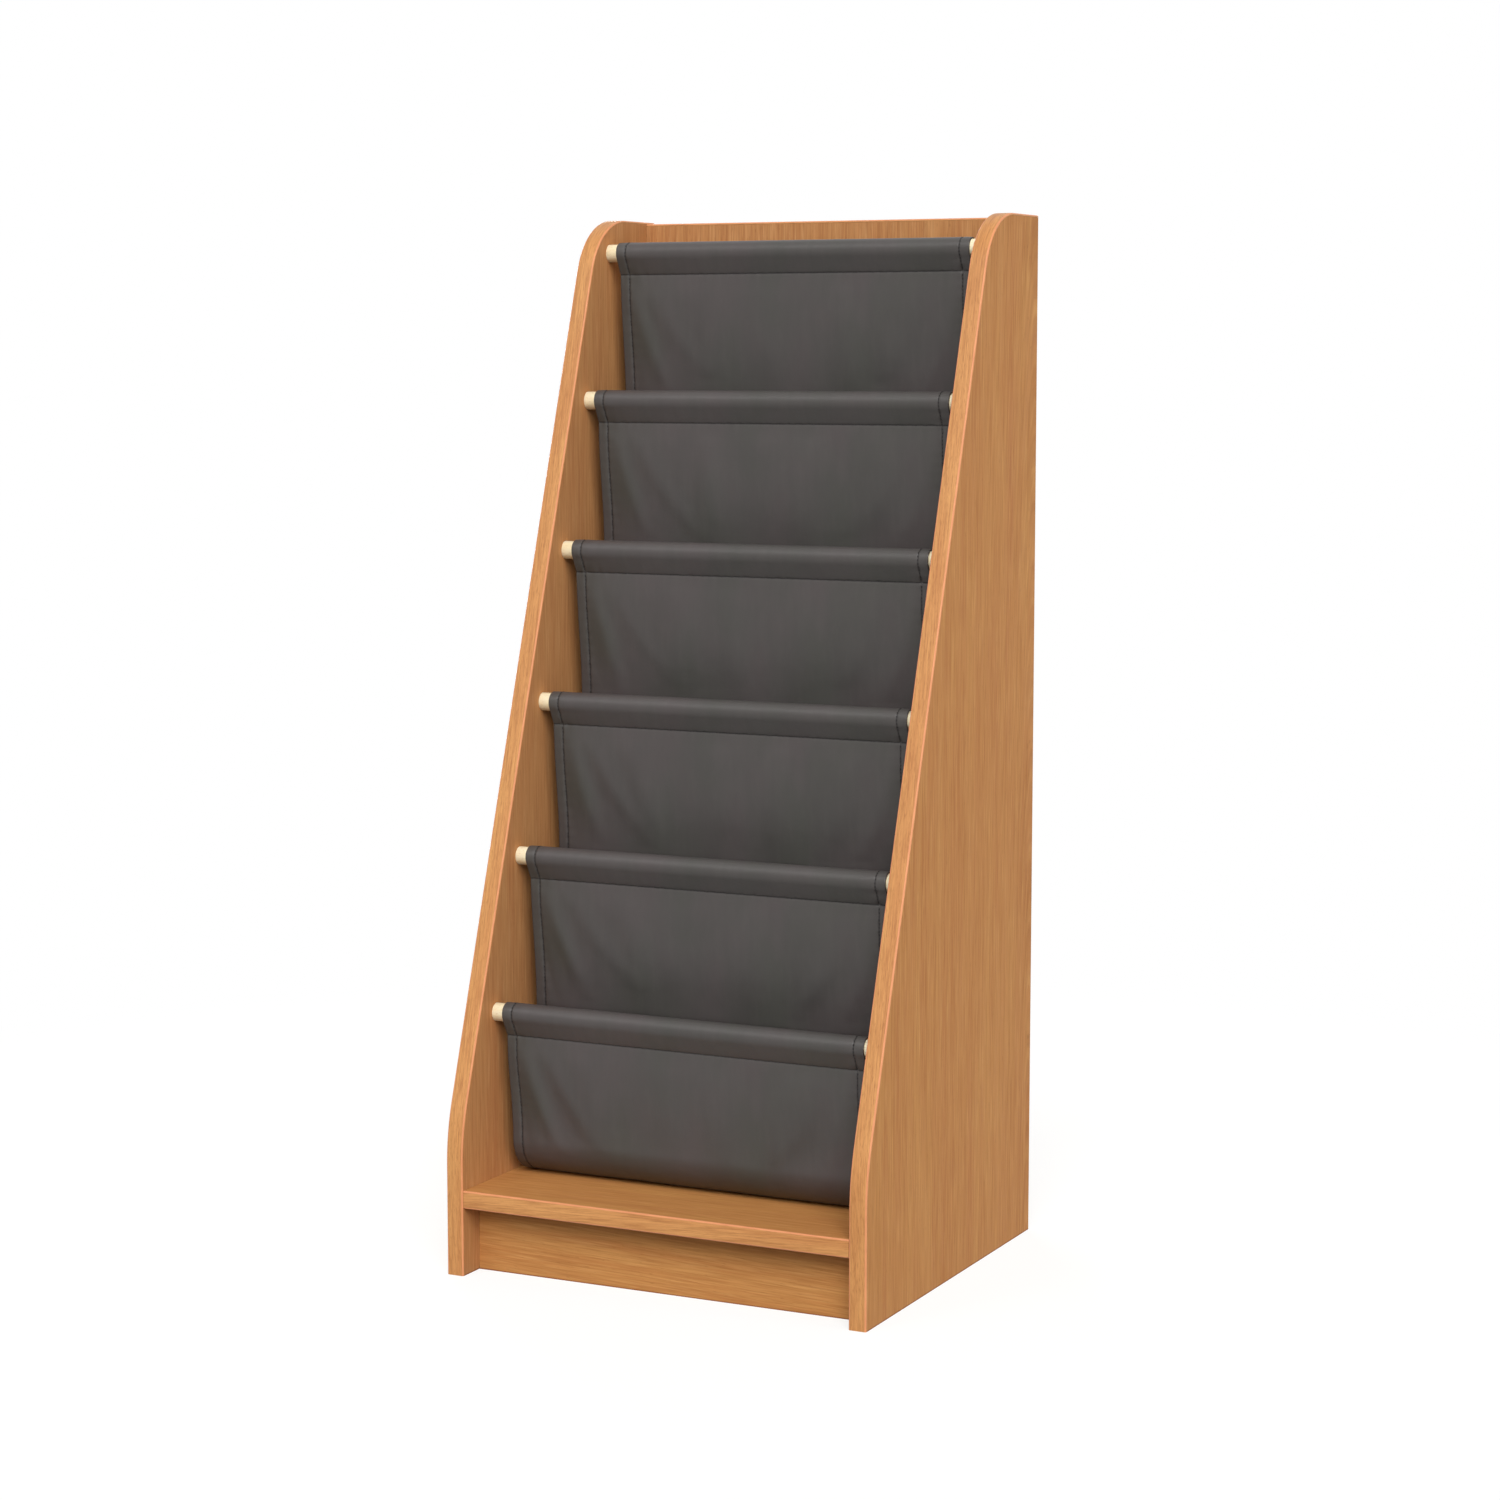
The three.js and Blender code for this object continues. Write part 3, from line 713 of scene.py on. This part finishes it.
zinc = zinc_finish()
inner_nodes = [name for name in nodes if name.endswith("_bolt") or "_peg_" in name]
for name in inner_nodes:
    dress(name, zinc if name.endswith("_bolt") else beech)
print(len(inner_nodes), "bolts and pegs dressed")

# %% Cams
cam_segments = 48
cam_rim = 0.5 * MM
recess_half_width = 0.75 * MM
recess_half_length = 3.6 * MM
recess_depth = 1.6 * MM
facing_up = 0.99


def cam_disc(node, faces_down):
    """A cam whose head looks down, under the shelf, or to the rear."""
    low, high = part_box(node)
    size = high - low
    radius = size.x / 2
    depth = size.z if faces_down else size.y
    bm = bmesh.new()
    bmesh.ops.create_cone(bm, cap_ends=True, segments=cam_segments, radius1=radius, radius2=radius,
                          depth=depth)
    rims = [edge for edge in bm.edges if edge.calc_face_angle() > rim_angle]
    bmesh.ops.bevel(bm, geom=rims, affect="EDGES", offset=cam_rim, offset_type="OFFSET", segments=3,
                    profile=0.5, material=-1)
    for axis in (Vector((1, 0, 0)), Vector((0, 1, 0))):
        for distance in (recess_half_width, recess_half_length):
            for sign in (-1, 1):
                head = [face for face in bm.faces if face.normal.z > facing_up]
                # A dict drops the repeats as a set does, and keeps the order the same in every run
                edges = dict.fromkeys(edge for face in head for edge in face.edges)
                corners = dict.fromkeys(vertex for face in head for vertex in face.verts)
                bmesh.ops.bisect_plane(bm, geom=[*head, *edges, *corners], plane_co=axis * distance * sign,
                                       plane_no=axis, dist=merge_distance)
    cross = []
    for face in bm.faces:
        centre = face.calc_center_median()
        arms = sorted((abs(centre.x), abs(centre.y)))
        if face.normal.z > facing_up and arms[0] < recess_half_width and arms[1] < recess_half_length:
            cross.append(face)
    sunk = bmesh.ops.extrude_face_region(bm, geom=cross)["geom"]
    bmesh.ops.translate(bm, verts=only(bmesh.types.BMVert, sunk), vec=(0, 0, -recess_depth))
    bmesh.ops.delete(bm, geom=[face for face in cross if face.is_valid], context="FACES")
    turn = Matrix.Rotation(math.radians(180 if faces_down else -90), 4, "X")
    place = Matrix.Translation((low + high) / 2) @ turn
    bmesh.ops.transform(bm, matrix=place, verts=bm.verts)
    finish_piece(bm, f"{node}_disc", [zinc], [node])


for name in sorted(nodes):
    if name.endswith("_cam"):
        cam_disc(name, name.startswith("shelf"))

# %% [markdown]
# ## Slings
#
# Each sling is one strip of close-woven cloth. Its two long ends are folded round a dowel and sewn
# down 22 mm below the dowel's middle, which makes the sleeves, and its sides are turned in by 11 mm
# and stitched. Empty, it hangs from the front dowel, rounds its bottom and climbs to the rear dowel.
#
# The shape is drawn as the path that the cloth takes, seen from the side, and a flat grid is laid
# along that path. create_grid makes the cloth's threads as rows and columns, and each point is
# then moved to its place. This keeps the cut size true, and the flat place of each point becomes its
# UV, so the weave follows the cloth round every bend.

# %% Sizes of a sling
sling_half_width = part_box("sling_1")[1].x
cloth_thickness = 0.7 * MM
sleeve_radius = 10.35 * MM
seam_drop = 22.0 * MM
flap_length = 7.0 * MM
flap_gap = 1.4 * MM
hem_width = 11.0 * MM
hem_gap = 0.75 * MM
# The sheet ends its fall this far behind the front dowel's middle, and before the rear dowel's.
# The lowest pocket swings out behind its rear dowel instead.
front_lean = 10.0 * MM
rear_lean = 6.0 * MM
lowest_swing = 13.0 * MM
lowest_corner_shares = {"front": 0.54, "rear": 0.38}
sleeve_steps, sheet_steps, bottom_steps = 40, 30, 24
least_step = 0.01 * MM
slope_reach = 1.2 * MM
print("sling width", round(2 * sling_half_width / MM), "mm")

# %% The cloth's path, seen from the side
def arc(centre, radius, start, end, steps):
    """Points in YZ round a centre, from one angle in degrees to another."""
    angles = [math.radians(start + (end - start) * step / steps) for step in range(steps + 1)]
    return [Vector((centre[0] + radius * math.cos(a), centre[1] + radius * math.sin(a))) for a in angles]


def ease(share):
    share = min(max(share, 0.0), 1.0)
    return share * share * (3 - 2 * share)


def hanging(start, end, steps):
    """A stretch that goes straight down and swings aside, upright at both its ends."""
    shares = [step / steps for step in range(steps)]
    return [Vector((start[0] + (end[0] - start[0]) * ease(s), start[1] + (end[1] - start[1]) * s))
            for s in shares]


def sleeve_loop(axis):
    """Round the dowel from its rear side over the top to its front side."""
    reach = math.degrees(math.acos(sleeve_radius / seam_drop))
    return arc(axis, sleeve_radius, reach - 90, 270 - reach, sleeve_steps)


def sheet_line(tier, front_axis, rear_axis):
    """From the front seam round the pocket's bottom to the rear seam."""
    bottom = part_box(f"sling_{tier}")[0].z + cloth_thickness / 2
    front_face = front_axis.x + front_lean
    if tier > 1:
        rear_face = rear_axis.x - rear_lean
        corners = [(rear_face - front_face) / 2] * 2
    else:
        rear_face = rear_axis.x + lowest_swing
        corners = [(rear_face - front_face) * share for share in lowest_corner_shares.values()]
    front_corner = (front_face + corners[0], bottom + corners[0])
    rear_corner = (rear_face - corners[1], bottom + corners[1])
    down = Vector((0, -seam_drop))
    rear_rise = hanging(rear_axis + down, (rear_face, rear_corner[1]), sheet_steps)[::-1]
    return [*hanging(front_axis + down, (front_face, front_corner[1]), sheet_steps),
            *arc(front_corner, corners[0], 180, 270, bottom_steps),
            *arc(rear_corner, corners[1], 270, 360, bottom_steps), *rear_rise]


class Path:
    """A line of points in YZ that gives its place and its outward side at any length along it."""

    def __init__(self, points):
        self.points = [points[0]]
        self.lengths = [0.0]
        for point in points[1:]:
            step = (point - self.points[-1]).length
            if step > least_step:
                self.points.append(point)
                self.lengths.append(self.lengths[-1] + step)

    def length_near(self, point):
        index = min(range(len(self.points)), key=lambda i: (self.points[i] - point).length)
        return self.lengths[index]

    def at(self, length):
        length = min(max(length, 0.0), self.lengths[-1])
        index = max(bisect.bisect_left(self.lengths, length), 1)
        start, end = self.points[index - 1], self.points[index]
        share = (length - self.lengths[index - 1]) / (self.lengths[index] - self.lengths[index - 1])
        return start.lerp(end, share)

    def outward(self, length):
        way = (self.at(length + slope_reach) - self.at(length - slope_reach)).normalized()
        return Vector((way.y, -way.x))


def middle_of(node):
    low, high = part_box(node)
    return Vector(((low.y + high.y) / 2, (low.z + high.z) / 2))


def sling_path(tier):
    """The whole strip: front flap, front sleeve, sheet, rear sleeve, rear flap."""
    front_axis, rear_axis = middle_of(f"front_dowel_{tier}"), middle_of(f"rear_dowel_{tier}")
    down, flap = Vector((0, -seam_drop)), Vector((0, -flap_length))
    inside = Vector((flap_gap, 0))
    line = sheet_line(tier, front_axis, rear_axis)
    front_flap = [front_axis + down + inside + flap, front_axis + down + inside]
    rear_flap = [rear_axis + down - inside, rear_axis + down - inside + flap]
    path = Path([*front_flap, *sleeve_loop(front_axis), *line, rear_axis + down,
                 *sleeve_loop(rear_axis), *rear_flap])
    seams = (path.length_near(front_axis + down), path.length_near(rear_axis + down))
    return path, seams


# Slings 2 to 6 are cut alike, and the lowest is half a millimetre shorter
usual_path, usual_seams = sling_path(2)
usual_length = usual_path.lengths[-1]
print(f"strip {usual_length / MM:.0f} mm long, seams at", [round(s / MM) for s in usual_seams])

# %% [markdown]
# ## Folds
#
# Cloth that hangs free is never flat. Slight tension runs from the sewn corners down across the
# sheet, and the hems, two layers thick, stay straighter than the single cloth between them. A
# cloth simulation finds such folds too, but these are few, shallow and in known places, so each is
# drawn: a ridge or a hollow along a bowed line, with its width, its depth and soft ends. The stitching
# pulls the cloth in a little along every seam, which makes the row of small puckers beside it.

# %% Folds
fold_end_softness = 0.8


class Fold:
    """A ridge, or a hollow where its height is negative, from one point of the sheet to another.
    Across runs from -1 to 1, down from 0 at the front seam to 1 at the rear seam."""

    def __init__(self, start, end, bow, width, height):
        self.start, self.end, self.bow = start, end, bow
        self.width, self.height = width, height

    def push(self, x, down):
        share = (down - self.start[1]) / (self.end[1] - self.start[1])
        if not 0 < share < 1:
            return 0.0
        line = self.start[0] + (self.end[0] - self.start[0]) * share
        line += self.bow * math.sin(math.pi * share)
        distance = (x - line * sling_half_width) / self.width
        return self.height * math.exp(-distance * distance) * math.sin(math.pi * share) ** fold_end_softness


# Start and end, each across and down, then the bow, and the width and height in mm.
# A pair is a middle value and its spread. The corner folds are given for the right side.
corner_ridge = ((0.91, 0.02), 0.02), ((0.74, 0.05), (0.44, 0.03)), (0.02, 0.01), (10, 1), (2.2, 0.3)
hem_hollow = ((0.95, 0.01), 0.12), ((0.88, 0.02), (0.48, 0.02)), 0.02, (6, 1), (-0.75, 0.15)
slanting_ridge = ((0.80, 0.04), 0.0), ((0.45, 0.06), (0.40, 0.04)), (0.03, 0.02), (14, 3), (1.4, 0.3)
# The upright ridges of a half share all but their place across: start down, end down, and the rest
front_ridges = (-0.45, -0.1, 0.25, 0.55), ((0.02, 0.02), (0.46, 0.03), (0.0, 0.06), (18, 4), (1.6, 0.9))
rear_ridges = (-0.7, -0.2, 0.3, 0.75), ((0.56, 0.03), (0.97, 0.02), (0.0, 0.06), (22, 6), (0.6, 0.7))
ridge_place_spread = 0.12
fold_seed = 40
lowest_strength, highest_strength = 1.0, 0.6


def near(draw, value):
    """A plain value as it is, and a pair as a number drawn round its middle value."""
    if not isinstance(value, tuple):
        return value
    middle, spread = value
    return middle + draw.uniform(-spread, spread)


def fold_near(draw, start, end, bow, width, height, side=1, strength=1.0):
    """A fold of the given kind, each time a little elsewhere."""
    start = side * near(draw, start[0]), near(draw, start[1])
    end = side * near(draw, end[0]), near(draw, end[1])
    bow = side * near(draw, bow)
    width = near(draw, width) * MM
    return Fold(start, end, bow, width, near(draw, height) * strength * MM)


def folds_of(tier):
    """The same few folds on every sling, and shallower ones on the higher slings."""
    draw = random.Random(fold_seed + tier)
    strength = lowest_strength + (highest_strength - lowest_strength) * (tier - 1) / (tiers - 1)
    folds = []
    for side in (-1, 1):
        folds.append(fold_near(draw, *corner_ridge, side, strength))
        folds.append(fold_near(draw, *hem_hollow, side, strength ** 2))
        folds.append(fold_near(draw, *slanting_ridge, side, strength))
    for places, (first, last, *shape) in (front_ridges, rear_ridges):
        for place in places:
            across = (place, ridge_place_spread)
            folds.append(fold_near(draw, (across, first), (across, last), *shape))
    return folds


print("folds on each sling:", len(folds_of(1)))

# %% Stitched rows, bellies and slack
belly_depth = 1.6 * MM
pucker_depth = 0.28 * MM
pucker_pitch = 11.0 * MM
pucker_reach = 5.0 * MM
pucker_wander_scale, pucker_wander = 40, 2.5
hem_groove = 0.55 * MM
seam_groove = 0.28 * MM
groove_reach = 0.9 * MM
hem_stitch_inset = 10.5 * MM
crumple_depth, crumple_scale = 0.10 * MM, 90
slack_depth = 0.5 * MM
slack_scale_across, slack_scale_along = 22, 16
hem_row_place = sling_half_width - hem_stitch_inset
# What the hem leaves of a fold, and the shares of the sheet over which it fades at seams and bottom
fold_left_at_hem = 0.25
seam_fade = 0.08
bottom_fade = 0.06


def pull_of_stitches(distance, along, seed, depth):
    """The groove that a row of stitches draws, and the puckers beside it."""
    groove = -depth * math.exp(-((distance / groove_reach) ** 2))
    drift = noise.noise((along * pucker_wander_scale, seed, 0.0)) * pucker_wander
    wave = math.sin(2 * math.pi * along / pucker_pitch + drift)
    return groove + pucker_depth * wave * math.exp(-abs(distance) / pucker_reach)


def belly(x, down):
    """The cloth stands out in the middle of each half of the sheet, and not at its edges."""
    return belly_depth * math.cos(x / sling_half_width * math.pi / 2) * math.sin(2 * math.pi * down) ** 2


def push_of(tier, folds, seams, x, length):
    """How far the cloth stands out from its path at one point. The lowest sling lies flat along its
    bottom. The multiples of the tier only give each sling a noise of its own."""
    down = (length - seams[0]) / (seams[1] - seams[0])
    edge = sling_half_width - abs(x)
    out = pull_of_stitches(edge - hem_stitch_inset, length, 7.0 * tier + (x > 0), hem_groove)
    out += sum(pull_of_stitches(length - seam, x, 11.0 * tier, seam_groove) for seam in seams)
    out += crumple_depth * noise.noise((x * crumple_scale, length * crumple_scale, tier * 3.1))
    if 0 < down < 1:
        hold = ease(edge / hem_width) * (1 - fold_left_at_hem) + fold_left_at_hem
        free = ease(down / seam_fade) * ease((1 - down) / seam_fade)
        rest = ease(abs(down - 0.5) / bottom_fade) if tier == 1 else 1.0
        slack_place = (x * slack_scale_across, length * slack_scale_along, tier * 1.7)
        slack = slack_depth * noise.noise(slack_place)
        out += (sum(fold.push(x, down) for fold in folds) * hold + belly(x, down) + slack) * free * rest
    return out


print("belly", belly_depth / MM, "mm deep, puckers", pucker_pitch / MM, "mm apart")

# %% Cloth grid
thread_step = 2.6 * MM
fine_step = 0.7 * MM
fine_reach = 3.5 * MM


def spaced(start, end, fine_places):
    """Places from start to end, closer together round the rows of stitches."""
    places, place = [start], start
    while place < end - fine_step:
        close = any(abs(place - fine) < fine_reach for fine in fine_places)
        place = min(place + (fine_step if close else thread_step), end)
        places.append(place)
    return places


def across_at(s):
    """Width and depth of the cloth's section at a flat place s, with its sides turned in."""
    turn = hem_gap / 2
    beyond = abs(s) - (sling_half_width - turn)
    side = math.copysign(1.0, s)
    if beyond <= 0:
        return s, 0.0
    bend = min(beyond / (math.pi * turn), 1.0) * math.pi
    x = sling_half_width - turn + turn * math.sin(bend)
    straight = max(beyond - math.pi * turn, 0.0)
    return side * (x - straight), turn * (1 - math.cos(bend))


def cloth_point(tier, path, seams, folds, s, length):
    """Where a flat place of the strip ends up."""
    x, inset = across_at(s)
    spot, outward = path.at(length), path.outward(length)
    out = push_of(tier, folds, seams, x, length) - inset
    return Vector((x, spot.x + outward.x * out, spot.y + outward.y * out))


def cloth_mesh(tier):
    path, seams = sling_path(tier)
    folds = folds_of(tier)
    half = sling_half_width + hem_width
    stitch_lines = [side * hem_row_place for side in (-1, 1)]
    turns = [side * sling_half_width for side in (-1, 1)]
    columns = spaced(-half, half, [*stitch_lines, *turns])
    rows = spaced(0.0, path.lengths[-1], seams)
    bm = bmesh.new()
    bmesh.ops.create_grid(bm, x_segments=len(columns) - 1, y_segments=len(rows) - 1, size=1.0)
    flat = bm.loops.layers.uv.new("flat")
    places = {}
    for vertex in bm.verts:
        column = round((vertex.co.x + 1) / 2 * (len(columns) - 1))
        row = round((vertex.co.y + 1) / 2 * (len(rows) - 1))
        places[vertex.index] = (columns[column], rows[row])
    for face in bm.faces:
        for loop in face.loops:
            loop[flat].uv = places[loop.vert.index]
    for vertex in bm.verts:
        vertex.co = cloth_point(tier, path, seams, folds, *places[vertex.index])
    for face in bm.faces:
        face.smooth = True
    mesh = bpy.data.meshes.new(f"sling_{tier}_cloth")
    bm.to_mesh(mesh)
    bm.free()
    return mesh, (2 * half, path.lengths[-1]), (path, seams, folds)


print("cloth grid ready")

# %% [markdown]
# ## Cloth and thread
#
# From a step away the cloth is a dark warm grey, but not one grey: warp and weft take the light
# differently, threads vary in thickness, and the dye drifts towards a brownish red and towards green
# over a hand's width. Faint streaks run down the cloth as it hangs. The weave is two crossed wave
# textures on the UV, which is in metres, so the threads stay 0.8 mm apart.
#
# Little light gets down into the groove that a row of stitches draws. The groove is only one or two
# pixels wide in the picture, too little for its shadow to show, so the cloth is also darkened there.

# %% Weave
thread_pitch = 0.8 * MM
# A wave texture of scale 1 has 20 waves in a length of 2 pi
wave_scale = 2 * math.pi / (20 * thread_pitch)
thread_wander = 0.6
slub_shrink = 0.06
slub_layer = (900.0, 3.0, 0.6)


def weave_and_slubs(tree, flat):
    """The relief of crossed threads, and the thick and thin places along each of them."""
    waves, slubs = [], []
    for direction, scale in (("X", (1.0, slub_shrink, 1.0)), ("Y", (slub_shrink, 1.0, 1.0))):
        wave = add_node(tree, "ShaderNodeTexWave", {
            "Vector": flat, "Scale": wave_scale, "Distortion": thread_wander, "Detail": 1.0},
            wave_type="BANDS", bands_direction=direction)
        waves.append(wave.outputs["Fac"])
        slubs.append(noise_at(tree, mapped(tree, flat, Scale=scale), *slub_layer))
    return math_node(tree, "MULTIPLY", *waves), math_node(tree, "ADD", *slubs)


print("thread pitch", thread_pitch / MM, "mm")

# %% Rows of stitches in the cloth's colour
groove_shade = linear(34, 31, 31)
groove_half_width = (0.5 * MM, 1.4 * MM)
hem_darkness, seam_darkness = 0.55, 0.60
strip_middle = usual_length / 2
seam_place = strip_middle - usual_seams[0]


def darkened_rows(tree, tone, place, row, darkness):
    """Darkens the groove of two rows of stitches, one on each side of the strip's middle."""
    from_middle = math_node(tree, "ABSOLUTE", place)
    from_row = math_node(tree, "ABSOLUTE", math_node(tree, "SUBTRACT", from_middle, row))
    return mix(tree, remap(tree, from_row, groove_half_width, (darkness, 0.0)), tone, groove_shade)


print("hem rows", round(hem_row_place / MM, 1), "mm from the middle, seams", round(seam_place / MM, 1))

# %% Cloth material
cloth_dark, cloth_light = linear(70, 67, 65), linear(77, 73, 71)
cloth_reddish, cloth_greenish = linear(80, 71, 72), linear(68, 69, 63)
streak_dark, streak_light = linear(62, 59, 58), linear(86, 82, 79)
# hollow_shade is painted shade for the hollows between the threads
slub_shade, hollow_shade = linear(57, 54, 52), linear(59, 56, 54)
# Patches and streaks are drawn out along the strip: there, a scale below 1 makes the noise longer
hue_scale, streak_scale = (1.0, 0.5, 1.0), (1.0, 0.22, 1.0)
# Scale, detail, roughness and distortion of each noise
drift_layer = (9.0, 2.0, 0.5)
hue_layer = (15.0, 2.0, 0.5, 0.3)
streak_layer = (110.0, 3.0, 0.6)
slub_relief = 0.8


def cloth_finish():
    material, tree, output = new_material("sling_cloth")
    flat = add_node(tree, "ShaderNodeUVMap", uv_map="flat").outputs[0]
    weave, slubs = weave_and_slubs(tree, flat)
    drift = noise_at(tree, flat, *drift_layer)
    hue = noise_at(tree, mapped(tree, flat, Scale=hue_scale), *hue_layer)
    streaks = noise_at(tree, mapped(tree, flat, Scale=streak_scale), *streak_layer)

    tone = ink_over(tree, cloth_dark, drift, cloth_light, start=0.3, end=0.7, most=1.0)
    tone = ink_over(tree, tone, hue, cloth_reddish, start=0.48, end=0.70, most=0.60)
    tone = ink_over(tree, tone, hue, cloth_greenish, start=0.48, end=0.30, most=0.60)
    tone = ink_over(tree, tone, streaks, streak_dark, start=0.48, end=0.34, most=0.14)
    tone = ink_over(tree, tone, streaks, streak_light, start=0.52, end=0.66, most=0.14)
    tone = ink_over(tree, tone, slubs, slub_shade, start=0.58, end=0.42, most=0.35)
    # Painted shade: the cloth darkens in the hollows of the weave
    tone = ink_over(tree, tone, weave, hollow_shade, start=0.5, end=0.0, most=0.30)
    across, along, _ = add_node(tree, "ShaderNodeSeparateXYZ", {0: flat}).outputs
    from_middle = math_node(tree, "SUBTRACT", along, strip_middle)
    tone = darkened_rows(tree, tone, from_middle, seam_place, seam_darkness)
    tone = darkened_rows(tree, tone, across, hem_row_place, hem_darkness)

    relief = math_node(tree, "ADD", weave, math_node(tree, "MULTIPLY", slubs, slub_relief))
    surface(tree, output, tone, roughness=0.44, specular=0.38, relief=relief, strength=0.22, depth=0.15 * MM)
    return material


cloth_look = cloth_finish()
print("cloth material ready")

# %% Thread material
thread_dark, thread_light = linear(17, 16, 16), linear(32, 29, 29)
thread_twist = (2600.0, 2.0, 0.6)


def thread_finish():
    material, tree, output = new_material("sewing_thread")
    twist = noise_at(tree, coordinates(tree), *thread_twist)
    surface(tree, output, mix(tree, twist, thread_dark, thread_light), roughness=0.55, specular=0.4)
    return material


thread_look = thread_finish()
print("thread material ready")

# %% [markdown]
# ## Stitches
#
# A lockstitch shows as a row of short dashes that dip into the cloth at each needle hole. Each dash
# is a tiny stretched sphere, laid on the finished cloth: the same function that placed the cloth's
# points gives the place and the slope under every stitch, so the rows follow each fold.

# %% Stitches
stitch_pitch = 3.6 * MM
stitch_length = 2.7 * MM
stitch_widths = {"seam": 0.62 * MM, "hem": 1.1 * MM}
stitch_sides, stitch_rings = 6, 4
stitch_lift_share = 0.75
feel_step = 0.8 * MM
seam_row_offset = 0.3 * MM
seam_row_end = 1.0 * MM
hem_row_past_seam = 52.0 * MM


def stitch_rows(seams):
    """Each row's kind, and its start and end on the flat strip, in (across, along)."""
    inside = sling_half_width - seam_row_end
    front_row, rear_row = seams[0] - seam_row_offset, seams[1] + seam_row_offset
    first, last = seams[0] - hem_row_past_seam, seams[1] + hem_row_past_seam
    return [
        ("seam", (-inside, front_row), (inside, front_row)),
        ("seam", (-inside, rear_row), (inside, rear_row)),
        ("hem", (-hem_row_place, first), (-hem_row_place, last)),
        ("hem", (hem_row_place, first), (hem_row_place, last)),
    ]


def stitch_template():
    """One stitch as a mesh, to be laid down again and again."""
    bm = bmesh.new()
    bmesh.ops.create_uvsphere(bm, u_segments=stitch_sides, v_segments=stitch_rings, radius=1.0)
    mesh = bpy.data.meshes.new("stitch")
    bm.to_mesh(mesh)
    bm.free()
    return mesh


def frame_on_cloth(place_on_cloth, spot, way):
    """A point of the cloth, its normal, and the turn that lays a stitch along a way there."""
    here = place_on_cloth(spot)
    ahead = place_on_cloth(spot + way * feel_step)
    aside = place_on_cloth(spot + Vector((way.y, -way.x)) * feel_step)
    along = (ahead - here).normalized()
    normal = along.cross(aside - here).normalized()
    return here, normal, Matrix((along, normal.cross(along), normal)).transposed().to_4x4()


def sew(tier, facts):
    """All the stitches of a sling, on both faces of the cloth."""
    path, seams, folds = facts

    def place_on_cloth(spot):
        return cloth_point(tier, path, seams, folds, *spot)

    bm = bmesh.new()
    stitch = stitch_template()
    for kind, start, end in stitch_rows(seams):
        thick = stitch_widths[kind] / 2
        size = Matrix.Diagonal((stitch_length / 2, thick, thick, 1))
        start, end = Vector(start), Vector(end)
        way = (end - start).normalized()
        for number in range(round((end - start).length / stitch_pitch)):
            spot = start + way * stitch_pitch * (number + 0.5)
            here, normal, turn = frame_on_cloth(place_on_cloth, spot, way)
            for face in (-1, 1):
                lift = normal * face * cloth_thickness * stitch_lift_share
                laid = stitch.copy()
                laid.transform(Matrix.Translation(here + lift) @ turn @ size)
                bm.from_mesh(laid)
                bpy.data.meshes.remove(laid)
    bpy.data.meshes.remove(stitch)
    name = f"sling_{tier}_stitching"
    return finish_piece(bm, name, [thread_look], smooth_under=180)


print("stitches", stitch_length / MM, "mm long,", stitch_pitch / MM, "mm apart")

# %% Slings
def sling(tier):
    mesh, flat, facts = cloth_mesh(tier)
    mesh.materials.append(cloth_look)
    piece = bpy.data.objects.new(mesh.name, mesh)
    bpy.context.scene.collection.objects.link(piece)
    skin = piece.modifiers.new("cloth thickness", "SOLIDIFY")
    skin.thickness = cloth_thickness
    skin.offset = 0.0
    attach(piece, "root")
    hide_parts(f"sling_{tier}")
    stitching = sew(tier, facts)
    print(f"sling {tier}: cut {flat[0] / MM:.0f} x {flat[1] / MM:.0f} mm, {len(mesh.polygons)} faces")


for tier in range(1, tiers + 1):
    sling(tier)
